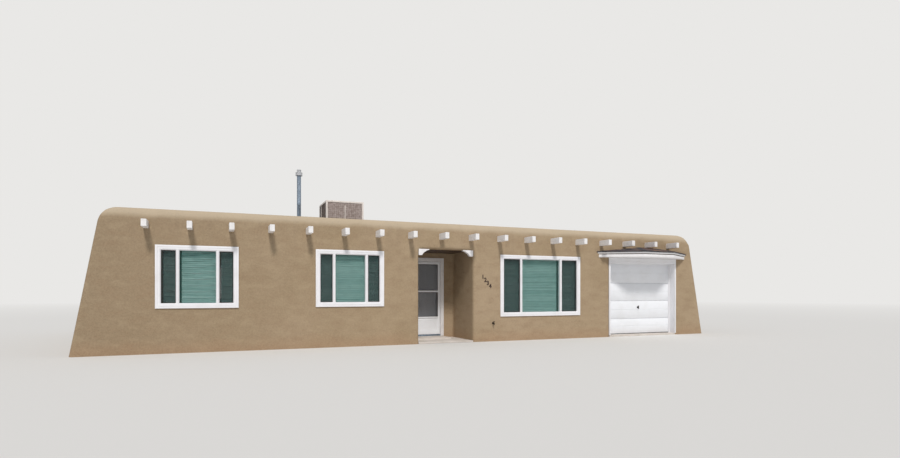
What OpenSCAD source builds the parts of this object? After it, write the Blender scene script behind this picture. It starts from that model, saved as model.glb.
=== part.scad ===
// Single-storey adobe house with a flat roof: stuccoed walls with leaning, rounded
// ends, a row of projecting beams under the parapet, a recessed entry, three front
// windows and a garage bay under a small hipped canopy. X runs along the front,
// Y into the house, Z up. The origin is on the ground in the middle of the plan.

/* [Walls] */
// Length of the front along the ground, between the feet of the leaning ends
house_len = 16930; // [16000:10:20000]
// Depth of the house, front face to back face
house_depth = 8500; // [7000:50:12000]
// Thickness of the front and back walls
wall_t = 300; // [220:5:420]
// Thickness of each end wall at the height of the beam seats
end_wall_t = 360; // [280:5:480]
// Height of the beam seats, where the walls end and the parapet starts
seat_z = 2634; // [2560:2:2900]
// Height of the parapet above the beam seats
parapet_h = 438; // [340:2:600]
// How far the west end leans in for each metre of height
west_lean = 178; // [60:2:220]
// How far the east end leans in for each metre of height
east_lean = 190; // [60:5:220]
// Radius of the west end's shoulder
west_shoulder_r = 380; // [260:10:420]
// Radius of the east end's shoulder
east_shoulder_r = 500; // [260:10:600]
// Radius of the parapet's outer top edge
parapet_outer_r = 150; // [60:5:190]
// Radius of the parapet's inner top edge
parapet_inner_r = 80; // [30:5:100]

/* [Roof] */
// Number of projecting roof beams
beam_count = 18; // [12:1:19]
// Distance from the west end wall's inner face to the first beam
beam_west_gap = 498; // [300:2:800]
// Distance from the last beam to the east end wall's inner face
beam_east_gap = 531; // [301:2:801]
// Width of a beam
beam_w = 102; // [80:1:150]
// Height of a beam
beam_h = 152; // [120:1:200]
// How far the beams stand out from the front wall
beam_out = 417; // [250:1:600]
// How far the beams bear on the back wall
beam_bearing = 180; // [120:5:210]
// Thickness of the roof deck with its covering
deck_t = 92; // [60:2:140]

/* [Floors] */
// Height of the house floor above the ground
floor_z = 125; // [90:5:200]
// Height of the garage floor above the ground
garage_floor_z = 50; // [30:5:80]
// Width of the bay with the garage floor, measured west of the garage opening
garage_bay_extra = 420; // [200:10:900]
// Height of the porch slab above the ground
porch_z = 42; // [30:2:60]
// Height of the low step in front of the entry door
step_h = 42; // [30:2:60]
// Depth of the low step
step_d = 650; // [400:10:900]
// Width of the low step
step_w = 1180; // [1000:10:1300]

/* [Windows] */
// Height of the heads of all windows
window_head_z = 2300; // [2200:5:2400]
// West edge of the west window
west_window_x = -6920; // [-7100:5:-6700]
// Width of the west window
west_window_w = 1645; // [1200:5:1900]
// Sill height of the west window
west_window_sill = 955; // [700:5:1200]
// West edge of the centre window
centre_window_x = -3595; // [-3900:5:-3400]
// Width of the centre window
centre_window_w = 1640; // [1200:5:1900]
// Sill height of the centre window
centre_window_sill = 955; // [700:5:1200]
// West edge of the east window
east_window_x = 1250; // [1150:5:1500]
// Width of the east window
east_window_w = 2546; // [1900:2:2700]
// Sill height of the east window
east_window_sill = 652; // [500:2:1000]
// Width of each side pane in the west and centre windows
small_side_pane = 283; // [200:1:360]
// Width of each side pane in the east window
large_side_pane = 495; // [350:1:600]
// Face width of a window frame, outer fin included
frame_w = 110; // [70:1:130]
// Face width of the outer fin
fin_w = 42; // [25:1:60]
// Width of a mullion
mullion_w = 70; // [60:1:120]
// Depth of a window frame from the wall face inward
frame_d = 80; // [60:2:120]
// How far the outer fin stands out from the wall face
fin_out = 25; // [10:1:30]
// Thickness of the window glass
glass_t = 6; // [4:1:12]
// Distance of the blinds behind the wall face
blind_setback = 110; // [90:1:160]
// Depth of a closed blind
blind_d = 26; // [16:1:50]
// How far a blind reaches past its light on either side
blind_lap = 20; // [5:1:30]

/* [Entry] */
// West edge of the entry opening
entry_x = -1046; // [-1150:2:-900]
// Width of the entry opening
entry_w = 1502; // [1350:2:1600]
// Height of the entry opening
entry_top_z = 2390; // [2320:5:2480]
// Depth of the entry recess from the wall face to the door wall
recess_d = 1366; // [900:2:1800]
// Thickness of the recess walls
recess_wall_t = 150; // [110:5:220]
// Thickness of the porch ceiling
ceiling_t = 24; // [12:2:40]
// West edge of the entry door's casing, east of the opening's edge
casing_inset = 91; // [40:1:120]
// Width of the entry door's leaf
leaf_w = 914; // [760:1:960]
// Height of the entry door's leaf
leaf_h = 2014; // [1950:2:2060]
// Gap round a door's leaf
door_gap = 6; // [5:1:8]
// Face width of the door casing
casing_w = 102; // [70:1:120]
// Thickness of the door casing where it stands out from the wall
casing_out = 22; // [14:1:30]
// Thickness of the jamb liners
jamb_t = 26; // [18:1:40]
// Thickness of the outer door
outer_door_t = 32; // [25:1:40]
// Thickness of the inner door
inner_door_t = 44; // [35:1:50]
// Length of a corbel along the head of the opening
corbel_len = 285; // [200:5:400]
// Height of a corbel
corbel_h = 158; // [100:2:220]
// Thickness of a corbel
corbel_t = 110; // [60:5:180]

/* [Garage] */
// Clear width between the garage jambs
garage_w = 2440; // [2200:5:2500]
// Width of the pier between the garage opening and the east end wall
garage_pier_w = 279; // [220:1:500]
// Height of the garage door's top edge above the ground
garage_door_top = 2160; // [2000:5:2180]
// Distance of the garage door behind the wall face
garage_setback = 235; // [120:5:245]
// Thickness of the garage door
garage_door_t = 45; // [35:1:60]
// Height of the garage door's bottom section
bottom_section_h = 457; // [400:1:500]
// Height of the sections above it; the top one takes what is left
section_h = 533; // [450:1:600]
// Number of sections in the garage door
section_count = 4; // [3:1:4]

/* [Canopy] */
// Length of the canopy along the wall
canopy_wall_len = 3320; // [2900:10:3400]
// Length of the canopy's front edge
canopy_front_len = 1129; // [800:1:1600]
// How far the canopy stands out from the wall
canopy_out = 680; // [450:5:900]
// Height of the canopy's lower edge
canopy_low_z = 2308; // [2285:1:2330]
// Height of the fascia's lower board
fascia_low_h = 84; // [60:2:110]
// Height of the groove above the lower board
fascia_groove_h = 15; // [8:1:24]
// Height of the fascia's upper board
fascia_top_h = 51; // [30:1:70]
// Length of the ridge along the wall
ridge_len = 420; // [200:10:900]

/* [Roof plant] */
// Width of the air cooler
cooler_w = 1034; // [800:2:1200]
// Length of the air cooler, front to back
cooler_l = 1080; // [900:10:1600]
// Height of the air cooler's top above the ground
cooler_top_z = 3806; // [3500:2:4100]
// Height of the legs under the air cooler
leg_h = 110; // [60:5:200]
// Distance of the air cooler behind the front wall face
cooler_back = 2100; // [1200:10:3000]
// West face of the air cooler
cooler_x = -2966; // [-3150:2:-2500]
// Outer diameter of the flue pipe
flue_dia = 114; // [80:1:160]
// Outer diameter of the flue's cap
flue_cap_dia = 200; // [180:2:300]
// Height of the flue's top above the ground
flue_top_z = 4862; // [4000:2:5200]
// Distance of the flue behind the front wall face
flue_back = 3500; // [2500:10:4500]
// Position of the flue along the front
flue_x = -3496; // [-4200:2:-3300]

/* [Hidden] */

// Colours of the real surfaces
stucco = "#a9916f";
white_paint = "#efeeef";
white_vinyl = "#f1eff2";
dark_glass = "#41504f";
concrete = "#b8aea4";
stained_wood = "#5f4a3a";
dark_metal = "#45413f";

// Clearance between a piece and the opening that it fits
fit = 0.3;
// How far a cutter runs past the solid that it cuts
over = 20;
// How far an arc runs past a corner that it meets, so that the two cross instead of
// just touching
arc_bite = 0.05;

// Driving planes of the plan
front_y = -house_depth / 2;
back_y = house_depth / 2;
front_in_y = front_y + wall_t;
back_in_y = back_y - wall_t;
west_foot_x = -house_len / 2;
east_foot_x = house_len / 2;
top_z = seat_z + parapet_h;
deck_z = seat_z + beam_h;
roof_z = deck_z + deck_t;

// Inner faces of the end walls, to the nearest millimetre
west_in_x = round(west_foot_x + west_lean * seat_z / 1000 + end_wall_t);
east_in_x = round(east_foot_x - east_lean * seat_z / 1000 - end_wall_t);

// Beams, split into a west and an east group
beams_west_count = floor(beam_count / 2);
beam_start_x = west_in_x + beam_west_gap;
beam_pitch = (east_in_x - beam_east_gap - beam_w - beam_start_x) / (beam_count - 1);
beam_y0 = front_y - beam_out;
beam_y1 = back_in_y + beam_bearing;

// Windows as [west edge, width, sill height, width of a side pane]
west_window = [west_window_x, west_window_w, west_window_sill, small_side_pane];
centre_window = [centre_window_x, centre_window_w, centre_window_sill, small_side_pane];
east_window = [east_window_x, east_window_w, east_window_sill, large_side_pane];
front_windows = [west_window, centre_window, east_window];

// Entry
entry_x1 = entry_x + entry_w;
door_wall_y = front_y + recess_d;
door_wall_back_y = door_wall_y + recess_wall_t;
casing_x0 = entry_x + casing_inset;
casing_in_x0 = casing_x0 + casing_w;
casing_in_x1 = casing_in_x0 + leaf_w + 2 * door_gap;
casing_x1 = casing_in_x1 + casing_w;
leaf_x0 = casing_in_x0 + door_gap;
leaf_x1 = leaf_x0 + leaf_w;
leaf_z0 = floor_z + door_gap;
leaf_z1 = leaf_z0 + leaf_h;
door_head_z = leaf_z1 + door_gap;
outer_door_y = door_wall_y - 14;
inner_door_y = door_wall_back_y - inner_door_t;
stop_w = 18;
stop_y = outer_door_y + outer_door_t + door_gap;
outer_pin = [casing_in_x1, outer_door_y - door_gap];
inner_pin = [casing_in_x1, door_wall_back_y + door_gap];

// Outer door's rails and stiles
stile_w = 72;
kick_h = 400;
lower_rail_h = 90;
mid_rail_z = 1300;
mid_rail_h = 48;
pane_t = 4;

// Garage
garage_x1 = east_in_x - garage_pier_w - jamb_t;
garage_x = garage_x1 - garage_w;
garage_head_z = garage_door_top + door_gap;
garage_open_x0 = garage_x - jamb_t;
garage_open_x1 = garage_x1 + jamb_t;
garage_lap = 20;
garage_open_z = canopy_low_z - fit - garage_lap;
garage_trim_t = 20;
garage_bay_x = garage_open_x0 - garage_bay_extra;
garage_stop_w = 32;
garage_door_y = front_y + garage_setback;

// Canopy, centred over the garage door
canopy_x = garage_x + garage_w / 2;
fascia_z = canopy_low_z + fascia_low_h + fascia_groove_h + fascia_top_h;
canopy_gap = 10;
ridge_z = seat_z - canopy_gap;
fascia_step = 20;
shingle_lap = 24;
eave_t = 10;

// Air cooler
cooler_x1 = cooler_x + cooler_w;
cooler_y = front_y + cooler_back;
cooler_y1 = cooler_y + cooler_l;
cooler_z = roof_z + leg_h;
post_w = 46;
pad_t = 40;
pad_inset = 12;
vent_l = 276;

module box(a, b) {
    translate(a) cube(b - a);
}

// Solid of a plane outline drawn in X and Z, between two Y planes
module along_y(y0, y1) {
    translate([0, y1, 0]) rotate([90, 0, 0]) linear_extrude(y1 - y0) children();
}

// Solid of a plane outline drawn in Y and Z, between two X planes
module along_x(x0, x1) {
    translate([x0, 0, 0]) rotate([90, 0, 90]) linear_extrude(x1 - x0) children();
}

// Unit vector across a leaning face, and the centre of the shoulder that it meets
function lean_dir(lean) = [1000, lean] / norm([1000, lean]);
function shoulder_x(lean, r) =
    house_len / 2 - r * norm([1000, lean]) / 1000 - lean * (top_z - r) / 1000;

// Half of the elevation of the house, from the middle to the end at +X
module half_elevation(lean, r) {
    c = [shoulder_x(lean, r), top_z - r];
    union() {
        polygon([
            [0, 0], [house_len / 2, 0], c + (r - arc_bite) * lean_dir(lean), c, c + [0, r],
            [0, top_z]
        ]);
        translate(c) circle(r, $fn = 96);
    }
}

// Whole elevation: the outline that the leaning ends and rounded shoulders give
module elevation() {
    half_elevation(east_lean, east_shoulder_r);
    mirror([1, 0]) half_elevation(west_lean, west_shoulder_r);
}

// Part of the elevation between two X planes and two heights
module elevation_part(x0, x1, z0, z1) {
    intersection() {
        elevation();
        translate([x0, z0]) square([x1 - x0, z1 - z0]);
    }
}

// Floors
module floor_slab() color(concrete) difference() {
    box([west_in_x, front_in_y, 0], [garage_bay_x, back_in_y, floor_z]);
    box([entry_x - recess_wall_t, front_in_y - over, -over],
        [entry_x1 + recess_wall_t, door_wall_back_y, floor_z + over]);
}

module garage_slab() color(concrete) {
    box([garage_bay_x, front_in_y, 0], [east_in_x, back_in_y, garage_floor_z]);
    box([garage_open_x0, front_y, 0], [garage_open_x1, front_in_y, garage_floor_z]);
}

// Porch slab with the low step in front of the door
module porch_slab() color(concrete) {
    box([entry_x, front_y, 0], [entry_x1, door_wall_y, porch_z]);
    box([entry_x, door_wall_y - step_d, porch_z],
        [entry_x + step_w, door_wall_y - casing_out, porch_z + step_h]);
}

// Walls
module window_hole(window, y0, y1) {
    box([window[0] + fin_w, y0, window[2] + fin_w],
        [window[0] + window[1] - fin_w, y1, window_head_z - fin_w]);
}

module front_wall_west() color(stucco) difference() {
    box([west_in_x, front_y, 0], [entry_x, front_in_y, seat_z]);
    window_hole(west_window, front_y - over, front_in_y + over);
    window_hole(centre_window, front_y - over, front_in_y + over);
}

module front_wall_mid() color(stucco) difference() {
    box([entry_x1, front_y, 0], [garage_open_x0, front_in_y, seat_z]);
    window_hole(east_window, front_y - over, front_in_y + over);
}

module front_wall_east() color(stucco)
    box([garage_open_x1, front_y, 0], [east_in_x, front_in_y, seat_z]);

module entry_lintel() color(stucco)
    box([entry_x, front_y, entry_top_z], [entry_x1, front_in_y, seat_z]);

module garage_lintel() color(stucco)
    box([garage_open_x0, front_y, garage_open_z], [garage_open_x1, front_in_y, seat_z]);

module end_wall_west() color(stucco) along_y(front_y, back_y)
    elevation_part(west_foot_x - over, west_in_x, 0, seat_z);

module end_wall_east() color(stucco) along_y(front_y, back_y)
    elevation_part(east_in_x, east_foot_x + over, 0, seat_z);

module back_wall() color(stucco) difference() {
    box([west_in_x, back_in_y, 0], [east_in_x, back_y, seat_z]);
    for (window = front_windows) window_hole(window, back_in_y - over, back_y + over);
}

// Recess walls: each side wall turns the corner and stops at the door's jamb
module recess_wall_west() color(stucco) {
    box([entry_x - recess_wall_t, front_in_y, 0], [entry_x, door_wall_back_y, seat_z]);
    box([entry_x, door_wall_y, 0], [casing_in_x0 - jamb_t, door_wall_back_y, seat_z]);
}

module recess_wall_east() color(stucco) {
    box([entry_x1, front_in_y, 0], [entry_x1 + recess_wall_t, door_wall_back_y, seat_z]);
    box([casing_in_x1 + jamb_t, door_wall_y, 0], [entry_x1, door_wall_back_y, seat_z]);
}

module recess_lintel() color(stucco)
    box([casing_in_x0 - jamb_t, door_wall_y, door_head_z + jamb_t],
        [casing_in_x1 + jamb_t, door_wall_back_y, seat_z]);

module porch_ceiling() color(stained_wood)
    box([entry_x, front_in_y, entry_top_z],
        [entry_x1, door_wall_y, entry_top_z + ceiling_t]);

// Roof
module beams(first, count) {
    for (i = [first : first + count - 1])
        translate([beam_start_x + i * beam_pitch, beam_y0, seat_z])
            cube([beam_w, beam_y1 - beam_y0, beam_h]);
}

module roof_beams_west() color(white_paint) beams(0, beams_west_count);

module roof_beams_east() color(white_paint)
    beams(beams_west_count, beam_count - beams_west_count);

module roof_deck() color("#9c9a96")
    box([west_in_x, front_in_y, deck_z], [east_in_x, back_in_y, roof_z]);

// Waste outside a rounded top edge: y is the face, inward is +1 or -1 into the wall
module edge_waste(y, inward, r) {
    difference() {
        translate([min(y - inward * over, y + inward * r), top_z - r])
            square([r + over, r + over]);
        translate([y + inward * r, top_z - r]) circle(r, $fn = 64);
    }
}

// Seats in the parapet for every beam
module beam_pockets(y0, y1) {
    for (i = [0 : beam_count - 1])
        box([beam_start_x + i * beam_pitch, y0, seat_z - over],
            [beam_start_x + i * beam_pitch + beam_w, y1, deck_z]);
}

module parapet_front() color(stucco) difference() {
    along_y(front_y, front_in_y) elevation_part(-house_len, house_len, seat_z, top_z);
    along_x(-house_len, house_len) edge_waste(front_y, 1, parapet_outer_r);
    along_x(west_in_x, east_in_x) edge_waste(front_in_y, -1, parapet_inner_r);
    beam_pockets(front_y - over, front_in_y + over);
}

module parapet_back() color(stucco) difference() {
    along_y(back_in_y, back_y) elevation_part(-house_len, house_len, seat_z, top_z);
    along_x(-house_len, house_len) edge_waste(back_y, -1, parapet_outer_r);
    along_x(west_in_x, east_in_x) edge_waste(back_in_y, 1, parapet_inner_r);
    beam_pockets(back_in_y - over, beam_y1);
}

module parapet_ends() color(stucco) along_y(front_in_y, back_in_y) {
    difference() {
        elevation_part(west_foot_x, west_in_x, seat_z, top_z);
        edge_waste(west_in_x, -1, parapet_inner_r);
    }
    difference() {
        elevation_part(east_in_x, east_foot_x, seat_z, top_z);
        edge_waste(east_in_x, 1, parapet_inner_r);
    }
}

// Outline of one window, drawn in X and Z, with its edges moved in by a margin
module window_outline(window, margin) {
    translate([window[0] + margin, window[2] + margin])
        square([window[1] - 2 * margin, window_head_z - window[2] - 2 * margin]);
}

// The three lights of a window as [west edge, width]
function light_middle(window) =
    window[1] - 2 * (frame_w + window[3] + mullion_w);
function lights(window) = [
    [window[0] + frame_w, window[3]],
    [window[0] + frame_w + window[3] + mullion_w, light_middle(window)],
    [window[0] + window[1] - frame_w - window[3], window[3]]
];

module light_outlines(window, grow = 0) {
    for (light = lights(window))
        translate([light[0] - grow, window[2] + frame_w - grow])
            square([light[1] + 2 * grow, window_head_z - window[2] - 2 * (frame_w - grow)]);
}

// Depth at which the glass lies behind the wall face, and its bite into the frame
glass_y = 40;
glass_bite = 10;

// One window as it stands in a wall whose outer face is at y = 0
module window_frame(window) {
    difference() {
        union() {
            along_y(-fin_out, 0) window_outline(window, 0);
            along_y(0, frame_d) window_outline(window, fin_w);
        }
        along_y(-fin_out - over, -fin_out + 6) window_outline(window, fin_w);
        along_y(-fin_out - over, frame_d + over) light_outlines(window);
        along_y(glass_y, glass_y + glass_t) light_outlines(window, glass_bite);
    }
}

module window_glass(window) {
    along_y(glass_y, glass_y + glass_t) light_outlines(window, glass_bite);
}

module window_frame_west() color(white_vinyl)
    translate([0, front_y, 0]) window_frame(west_window);

module window_frame_centre() color(white_vinyl)
    translate([0, front_y, 0]) window_frame(centre_window);

module window_frame_east() color(white_vinyl)
    translate([0, front_y, 0]) window_frame(east_window);

module back_window_frames() color(white_vinyl)
    translate([0, back_y, 0]) mirror([0, 1, 0])
        for (window = front_windows) window_frame(window);

module front_glass() color(dark_glass)
    translate([0, front_y, 0]) for (window = front_windows) window_glass(window);

module back_glass() color(dark_glass)
    translate([0, back_y, 0]) mirror([0, 1, 0])
        for (window = front_windows) window_glass(window);

// Closed blinds, hung from the heads of the front windows behind each light
module window_blinds() color("#dfe6e0")
    for (window = front_windows, light = lights(window))
        box([light[0] - blind_lap, front_y + blind_setback, window[2] + frame_w],
            [light[0] + light[1] + blind_lap, front_y + blind_setback + blind_d,
             window_head_z - fin_w]);

// Hinges of both entry doors: a lower knuckle on the frame and an upper one on the
// door, which rests on it. The leaf plate lies on the face that the door opens to.
knuckle_r = 5;
knuckle_h = 38;
plate_t = 3;
plate_w = 34;
hinge_zs = [
    leaf_z0 + 180,
    (leaf_z0 + leaf_z1) / 2 - knuckle_h,
    leaf_z1 - 180 - 2 * knuckle_h
];

// Knuckles at a pin, with plates that reach west (-1) or east (+1) on a face
module knuckles(pin, face_y, side, rise, reach) {
    for (z = hinge_zs) translate([0, 0, z + rise]) {
        translate([pin[0], pin[1], 0])
            cylinder(h = knuckle_h - (rise > 0 ? fit : 0), r = knuckle_r, $fn = 32);
        if (reach > 0)
            box([pin[0] + (side < 0 ? -reach : 0), min(face_y, face_y + plate_dir(pin, face_y)), 0],
                [pin[0] + (side < 0 ? 0 : reach), max(face_y, face_y + plate_dir(pin, face_y)),
                 knuckle_h - (rise > 0 ? fit : 0)]);
    }
}
function plate_dir(pin, face_y) = pin[1] > face_y ? plate_t : -plate_t;

// Entry door frame: flat casing on the wall face, jambs through it, stop and sill
module entry_casing() color(white_paint) {
    knuckles(outer_pin, outer_door_y, 1, 0, 0);
    knuckles(inner_pin, door_wall_back_y, 1, 0, jamb_t);
    difference() {
        union() {
            box([casing_x0, door_wall_y - casing_out, porch_z + step_h],
                [casing_x1, door_wall_y, door_head_z + casing_w]);
            box([casing_in_x0 - jamb_t, door_wall_y, 0],
                [casing_in_x1 + jamb_t, door_wall_back_y, door_head_z + jamb_t]);
        }
        box([casing_in_x0, door_wall_y - casing_out - over, floor_z],
            [casing_in_x1, stop_y, door_head_z]);
        box([casing_in_x0 + stop_w, stop_y - over, floor_z],
            [casing_in_x1 - stop_w, door_wall_back_y + over, door_head_z - stop_w]);
        box([casing_in_x0, inner_door_y - door_gap, floor_z],
            [casing_in_x1, door_wall_back_y + over, door_head_z]);
        for (z = hinge_zs) translate([outer_pin[0], outer_pin[1], z + knuckle_h])
            cylinder(h = knuckle_h, r = knuckle_r + 1.5, $fn = 32);
    }
}

// Outer door: stiles and rails with a kick panel, hung on its east edge
outer_lights = [
    [leaf_z0 + lower_rail_h + kick_h, mid_rail_z],
    [mid_rail_z + mid_rail_h, leaf_z1 - stile_w]
];

module outer_door_lights(grow = 0) {
    for (light = outer_lights)
        translate([leaf_x0 + stile_w - grow, light[0] - grow])
            square([leaf_w - 2 * stile_w + 2 * grow, light[1] - light[0] + 2 * grow]);
}

pane_y = outer_door_y + outer_door_t / 2;
pane_bite = 8;

module outer_door() color(white_paint) {
    knuckles(outer_pin, outer_door_y, -1, knuckle_h + fit, plate_w);
    difference() {
        box([leaf_x0, outer_door_y, leaf_z0],
            [leaf_x1, outer_door_y + outer_door_t, leaf_z1]);
        along_y(outer_door_y - over, outer_door_y + outer_door_t + over)
            outer_door_lights();
        along_y(pane_y, pane_y + pane_t) outer_door_lights(pane_bite);
        along_y(outer_door_y - over, outer_door_y + 6)
            translate([leaf_x0 + stile_w, leaf_z0 + lower_rail_h])
                square([leaf_w - 2 * stile_w, kick_h - lower_rail_h / 2]);
    }
}

module outer_door_panes() color(dark_glass)
    along_y(pane_y, pane_y + pane_t) outer_door_lights(pane_bite);

handle_z = 1060;
module outer_door_handle() color(dark_metal)
    translate([leaf_x0 + stile_w / 2, outer_door_y, handle_z]) {
        box([-18, -6, -70], [18, 0, 70]);
        translate([0, -6, 20]) rotate([90, 0, 0]) cylinder(h = 26, d = 16, $fn = 32);
        box([-9, -42, 12], [85, -32, 28]);
    }

// Inner door: a plain leaf with sunk panels on both faces
panel_cols = 2;
panel_rows = [[180, 560], [830, 560], [1480, 380]];
panel_sunk = 8;
panel_stile = 115;
panel_mid = 100;
panel_w = (leaf_w - 2 * panel_stile - panel_mid) / panel_cols;

module inner_door() color(white_paint) {
    knuckles(inner_pin, door_wall_back_y, -1, knuckle_h + fit, plate_w);
    difference() {
        box([leaf_x0, inner_door_y, leaf_z0], [leaf_x1, door_wall_back_y, leaf_z1]);
        for (col = [0 : panel_cols - 1], row = panel_rows, face = [0, 1])
            translate([
                leaf_x0 + panel_stile + col * (panel_w + panel_mid),
                face == 0 ? inner_door_y - over : door_wall_back_y - panel_sunk,
                leaf_z0 + row[0]
            ])
                cube([panel_w, panel_sunk + over, row[1]]);
    }
}

knob_inset = 65;
knob_z = 1040;
module inner_door_knob() color("#b39a5c")
    translate([leaf_x0 + knob_inset, 0, knob_z]) {
        translate([0, inner_door_y, 0]) rotate([90, 0, 0]) cylinder(h = 8, d = 62, $fn = 48);
        translate([0, door_wall_back_y, 0]) rotate([-90, 0, 0]) {
            cylinder(h = 8, d = 62, $fn = 48);
            cylinder(h = 40, d = 22, $fn = 32);
            translate([0, 0, 52]) sphere(d = 54, $fn = 48);
        }
    }

// Corbel in one upper corner of the entry: a flat heel at the wall, a cove that rises
// from it to a step, and a tail that thins out along the head
corbel_heel = 92;
corbel_tail = 84;
corbel_step_h = 58;
corbel_tail_h = 42;
corbel_tip_h = 18;
cove_r = 160;
corbel_back = 8;
module corbel() {
    step = [corbel_len - corbel_tail, -corbel_step_h];
    heel = [corbel_heel, -corbel_h];
    chord = norm(step - heel);
    outward = [step[1] - heel[1], heel[0] - step[0]] / chord;
    along_y(0, corbel_t) difference() {
        polygon([
            [0, 0], [corbel_len, 0], [corbel_len, -corbel_tip_h], [step[0], -corbel_tail_h],
            step, heel, [0, -corbel_h]
        ]);
        translate((step + heel) / 2 + outward * sqrt(cove_r * cove_r - chord * chord / 4))
            circle(cove_r + arc_bite, $fn = 96);
    }
}

module entry_corbels() color(white_paint) {
    translate([entry_x, front_y + corbel_back, entry_top_z]) corbel();
    translate([entry_x1, front_y + corbel_back, entry_top_z]) mirror([1, 0, 0]) corbel();
}

// Garage frame: trim on the wall face, jambs and head in the opening, and a stop
module garage_casing() color(white_paint) {
    box([garage_open_x0 - garage_lap, front_y - garage_trim_t, garage_floor_z],
        [garage_x, front_y, garage_open_z + garage_lap]);
    box([garage_x1, front_y - garage_trim_t, garage_floor_z],
        [garage_open_x1 + garage_lap, front_y, garage_open_z + garage_lap]);
    box([garage_x, front_y - garage_trim_t, garage_head_z],
        [garage_x1, front_y, garage_open_z + garage_lap]);
    box([garage_open_x0, front_y, garage_floor_z], [garage_x, front_in_y, garage_open_z]);
    box([garage_x1, front_y, garage_floor_z], [garage_open_x1, front_in_y, garage_open_z]);
    box([garage_x, front_y, garage_head_z], [garage_x1, front_in_y, garage_open_z]);
    for (x = [garage_x, garage_x1 - garage_stop_w])
        box([x, garage_door_y - garage_stop_w, garage_floor_z],
            [x + garage_stop_w, garage_door_y, garage_head_z]);
}

// Garage door: sections with a deep joint between them and a shallow groove in each
joint_h = 12;
joint_depth = 14;
groove_depth = 7;
section_zs = [
    garage_floor_z,
    for (i = [0 : section_count - 2]) garage_floor_z + bottom_section_h + i * section_h,
    garage_door_top
];

// Slot across the door's face, with its middle at a height
module door_slot(z, depth)
    box([garage_x - over, garage_door_y - over, z - joint_h / 2],
        [garage_x1 + over, garage_door_y + depth, z + joint_h / 2]);

module garage_door() color(white_paint) difference() {
    box([garage_x, garage_door_y, garage_floor_z],
        [garage_x1, garage_door_y + garage_door_t, garage_door_top]);
    for (i = [1 : section_count - 1]) door_slot(section_zs[i], joint_depth);
    for (i = [0 : section_count - 1])
        door_slot((section_zs[i] + section_zs[i + 1]) / 2, groove_depth);
}

// Handle in the middle of the door, above the groove of its second section
handle_plate_d = 64;
handle_above_groove = 34;
garage_handle_x = garage_x + garage_w / 2;
garage_handle_z =
    (section_zs[1] + section_zs[2] + joint_h + handle_plate_d) / 2 + handle_above_groove;
module garage_door_handle() color(dark_metal)
    translate([garage_handle_x, garage_door_y, garage_handle_z]) rotate([90, 0, 0]) {
        cylinder(h = 6, d = handle_plate_d, $fn = 48);
        cylinder(h = 34, d = 18, $fn = 32);
        translate([-9, -50, 34]) cube([18, 100, 14]);
    }

// Half-hexagon of the canopy's plan, drawn out from the wall, moved in by a margin
function canopy_plan(margin) =
    let (
        side_dx = (canopy_wall_len - canopy_front_len) / 2,
        slant = norm([side_dx, canopy_out]) / canopy_out,
        shrink = margin * (slant - side_dx / canopy_out)
    )
    [
        [canopy_wall_len / 2 - margin * slant, 0],
        [canopy_front_len / 2 - shrink, -(canopy_out - margin)],
        [-(canopy_front_len / 2 - shrink), -(canopy_out - margin)],
        [-(canopy_wall_len / 2 - margin * slant), 0]
    ];

// Fascia of two boards with a groove between them, round a closed soffit
soffit_t = 20;
fascia_board = 32;
module canopy_slab(z0, z1, margin)
    translate([0, 0, z0]) linear_extrude(z1 - z0) polygon(canopy_plan(margin));

module canopy_fascia() color(white_paint)
    translate([canopy_x, front_y, 0]) difference() {
        groove_z = canopy_low_z + fascia_low_h;
        union() {
            canopy_slab(canopy_low_z, groove_z, fascia_step);
            canopy_slab(groove_z, fascia_z - fascia_top_h, 2 * fascia_step);
            canopy_slab(fascia_z - fascia_top_h, fascia_z, 0);
        }
        difference() {
            canopy_slab(canopy_low_z + soffit_t, fascia_z + over, fascia_step + fascia_board);
            box([-canopy_wall_len, -fascia_board, canopy_low_z],
                [canopy_wall_len, over, fascia_z]);
        }
    }

// Hipped canopy roof, from an eave edge up to a ridge on the wall
module canopy_roof() color("#5d4f4b")
    translate([canopy_x, front_y, fascia_z]) {
        eave = canopy_plan(-shingle_lap);
        rise = ridge_z - fascia_z;
        polyhedron(
            points = [
                for (p = eave) [p[0], p[1], 0],
                for (p = eave) [p[0], p[1], eave_t],
                [ridge_len / 2, 0, rise], [-ridge_len / 2, 0, rise]
            ],
            faces = [
                [0, 3, 2, 1], [0, 1, 5, 4], [1, 2, 6, 5], [2, 3, 7, 6],
                [4, 5, 8], [5, 6, 9, 8], [6, 7, 9], [3, 0, 4, 8, 9, 7]
            ]
        );
    }

// Air cooler: a cabinet on legs, open for its pads on three sides and for its duct
module cooler_windows(grow = 0) {
    z0 = cooler_z + post_w - grow;
    z1 = cooler_top_z - post_w + grow;
    box([cooler_x + post_w - grow, cooler_y - over, z0],
        [cooler_x1 - post_w + grow, cooler_y + pad_t + pad_inset, z1]);
    for (x = [cooler_x - over, cooler_x1 - pad_t - pad_inset])
        box([x, cooler_y + post_w + pad_t - grow, z0],
            [x + pad_t + pad_inset + over, cooler_y1 - vent_l + grow, z1]);
}

module air_cooler() color("#cfc6bd") {
    difference() {
        box([cooler_x, cooler_y, cooler_z], [cooler_x1, cooler_y1, cooler_top_z]);
        cooler_windows();
        box([cooler_x - over, cooler_y1 - vent_l + post_w, cooler_z + post_w],
            [cooler_x1 + over, cooler_y1 - post_w, cooler_top_z - post_w]);
    }
    for (x = [cooler_x, cooler_x1 - post_w], y = [cooler_y, cooler_y1 - post_w])
        box([x, y, roof_z], [x + post_w, y + post_w, cooler_z]);
}

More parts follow.
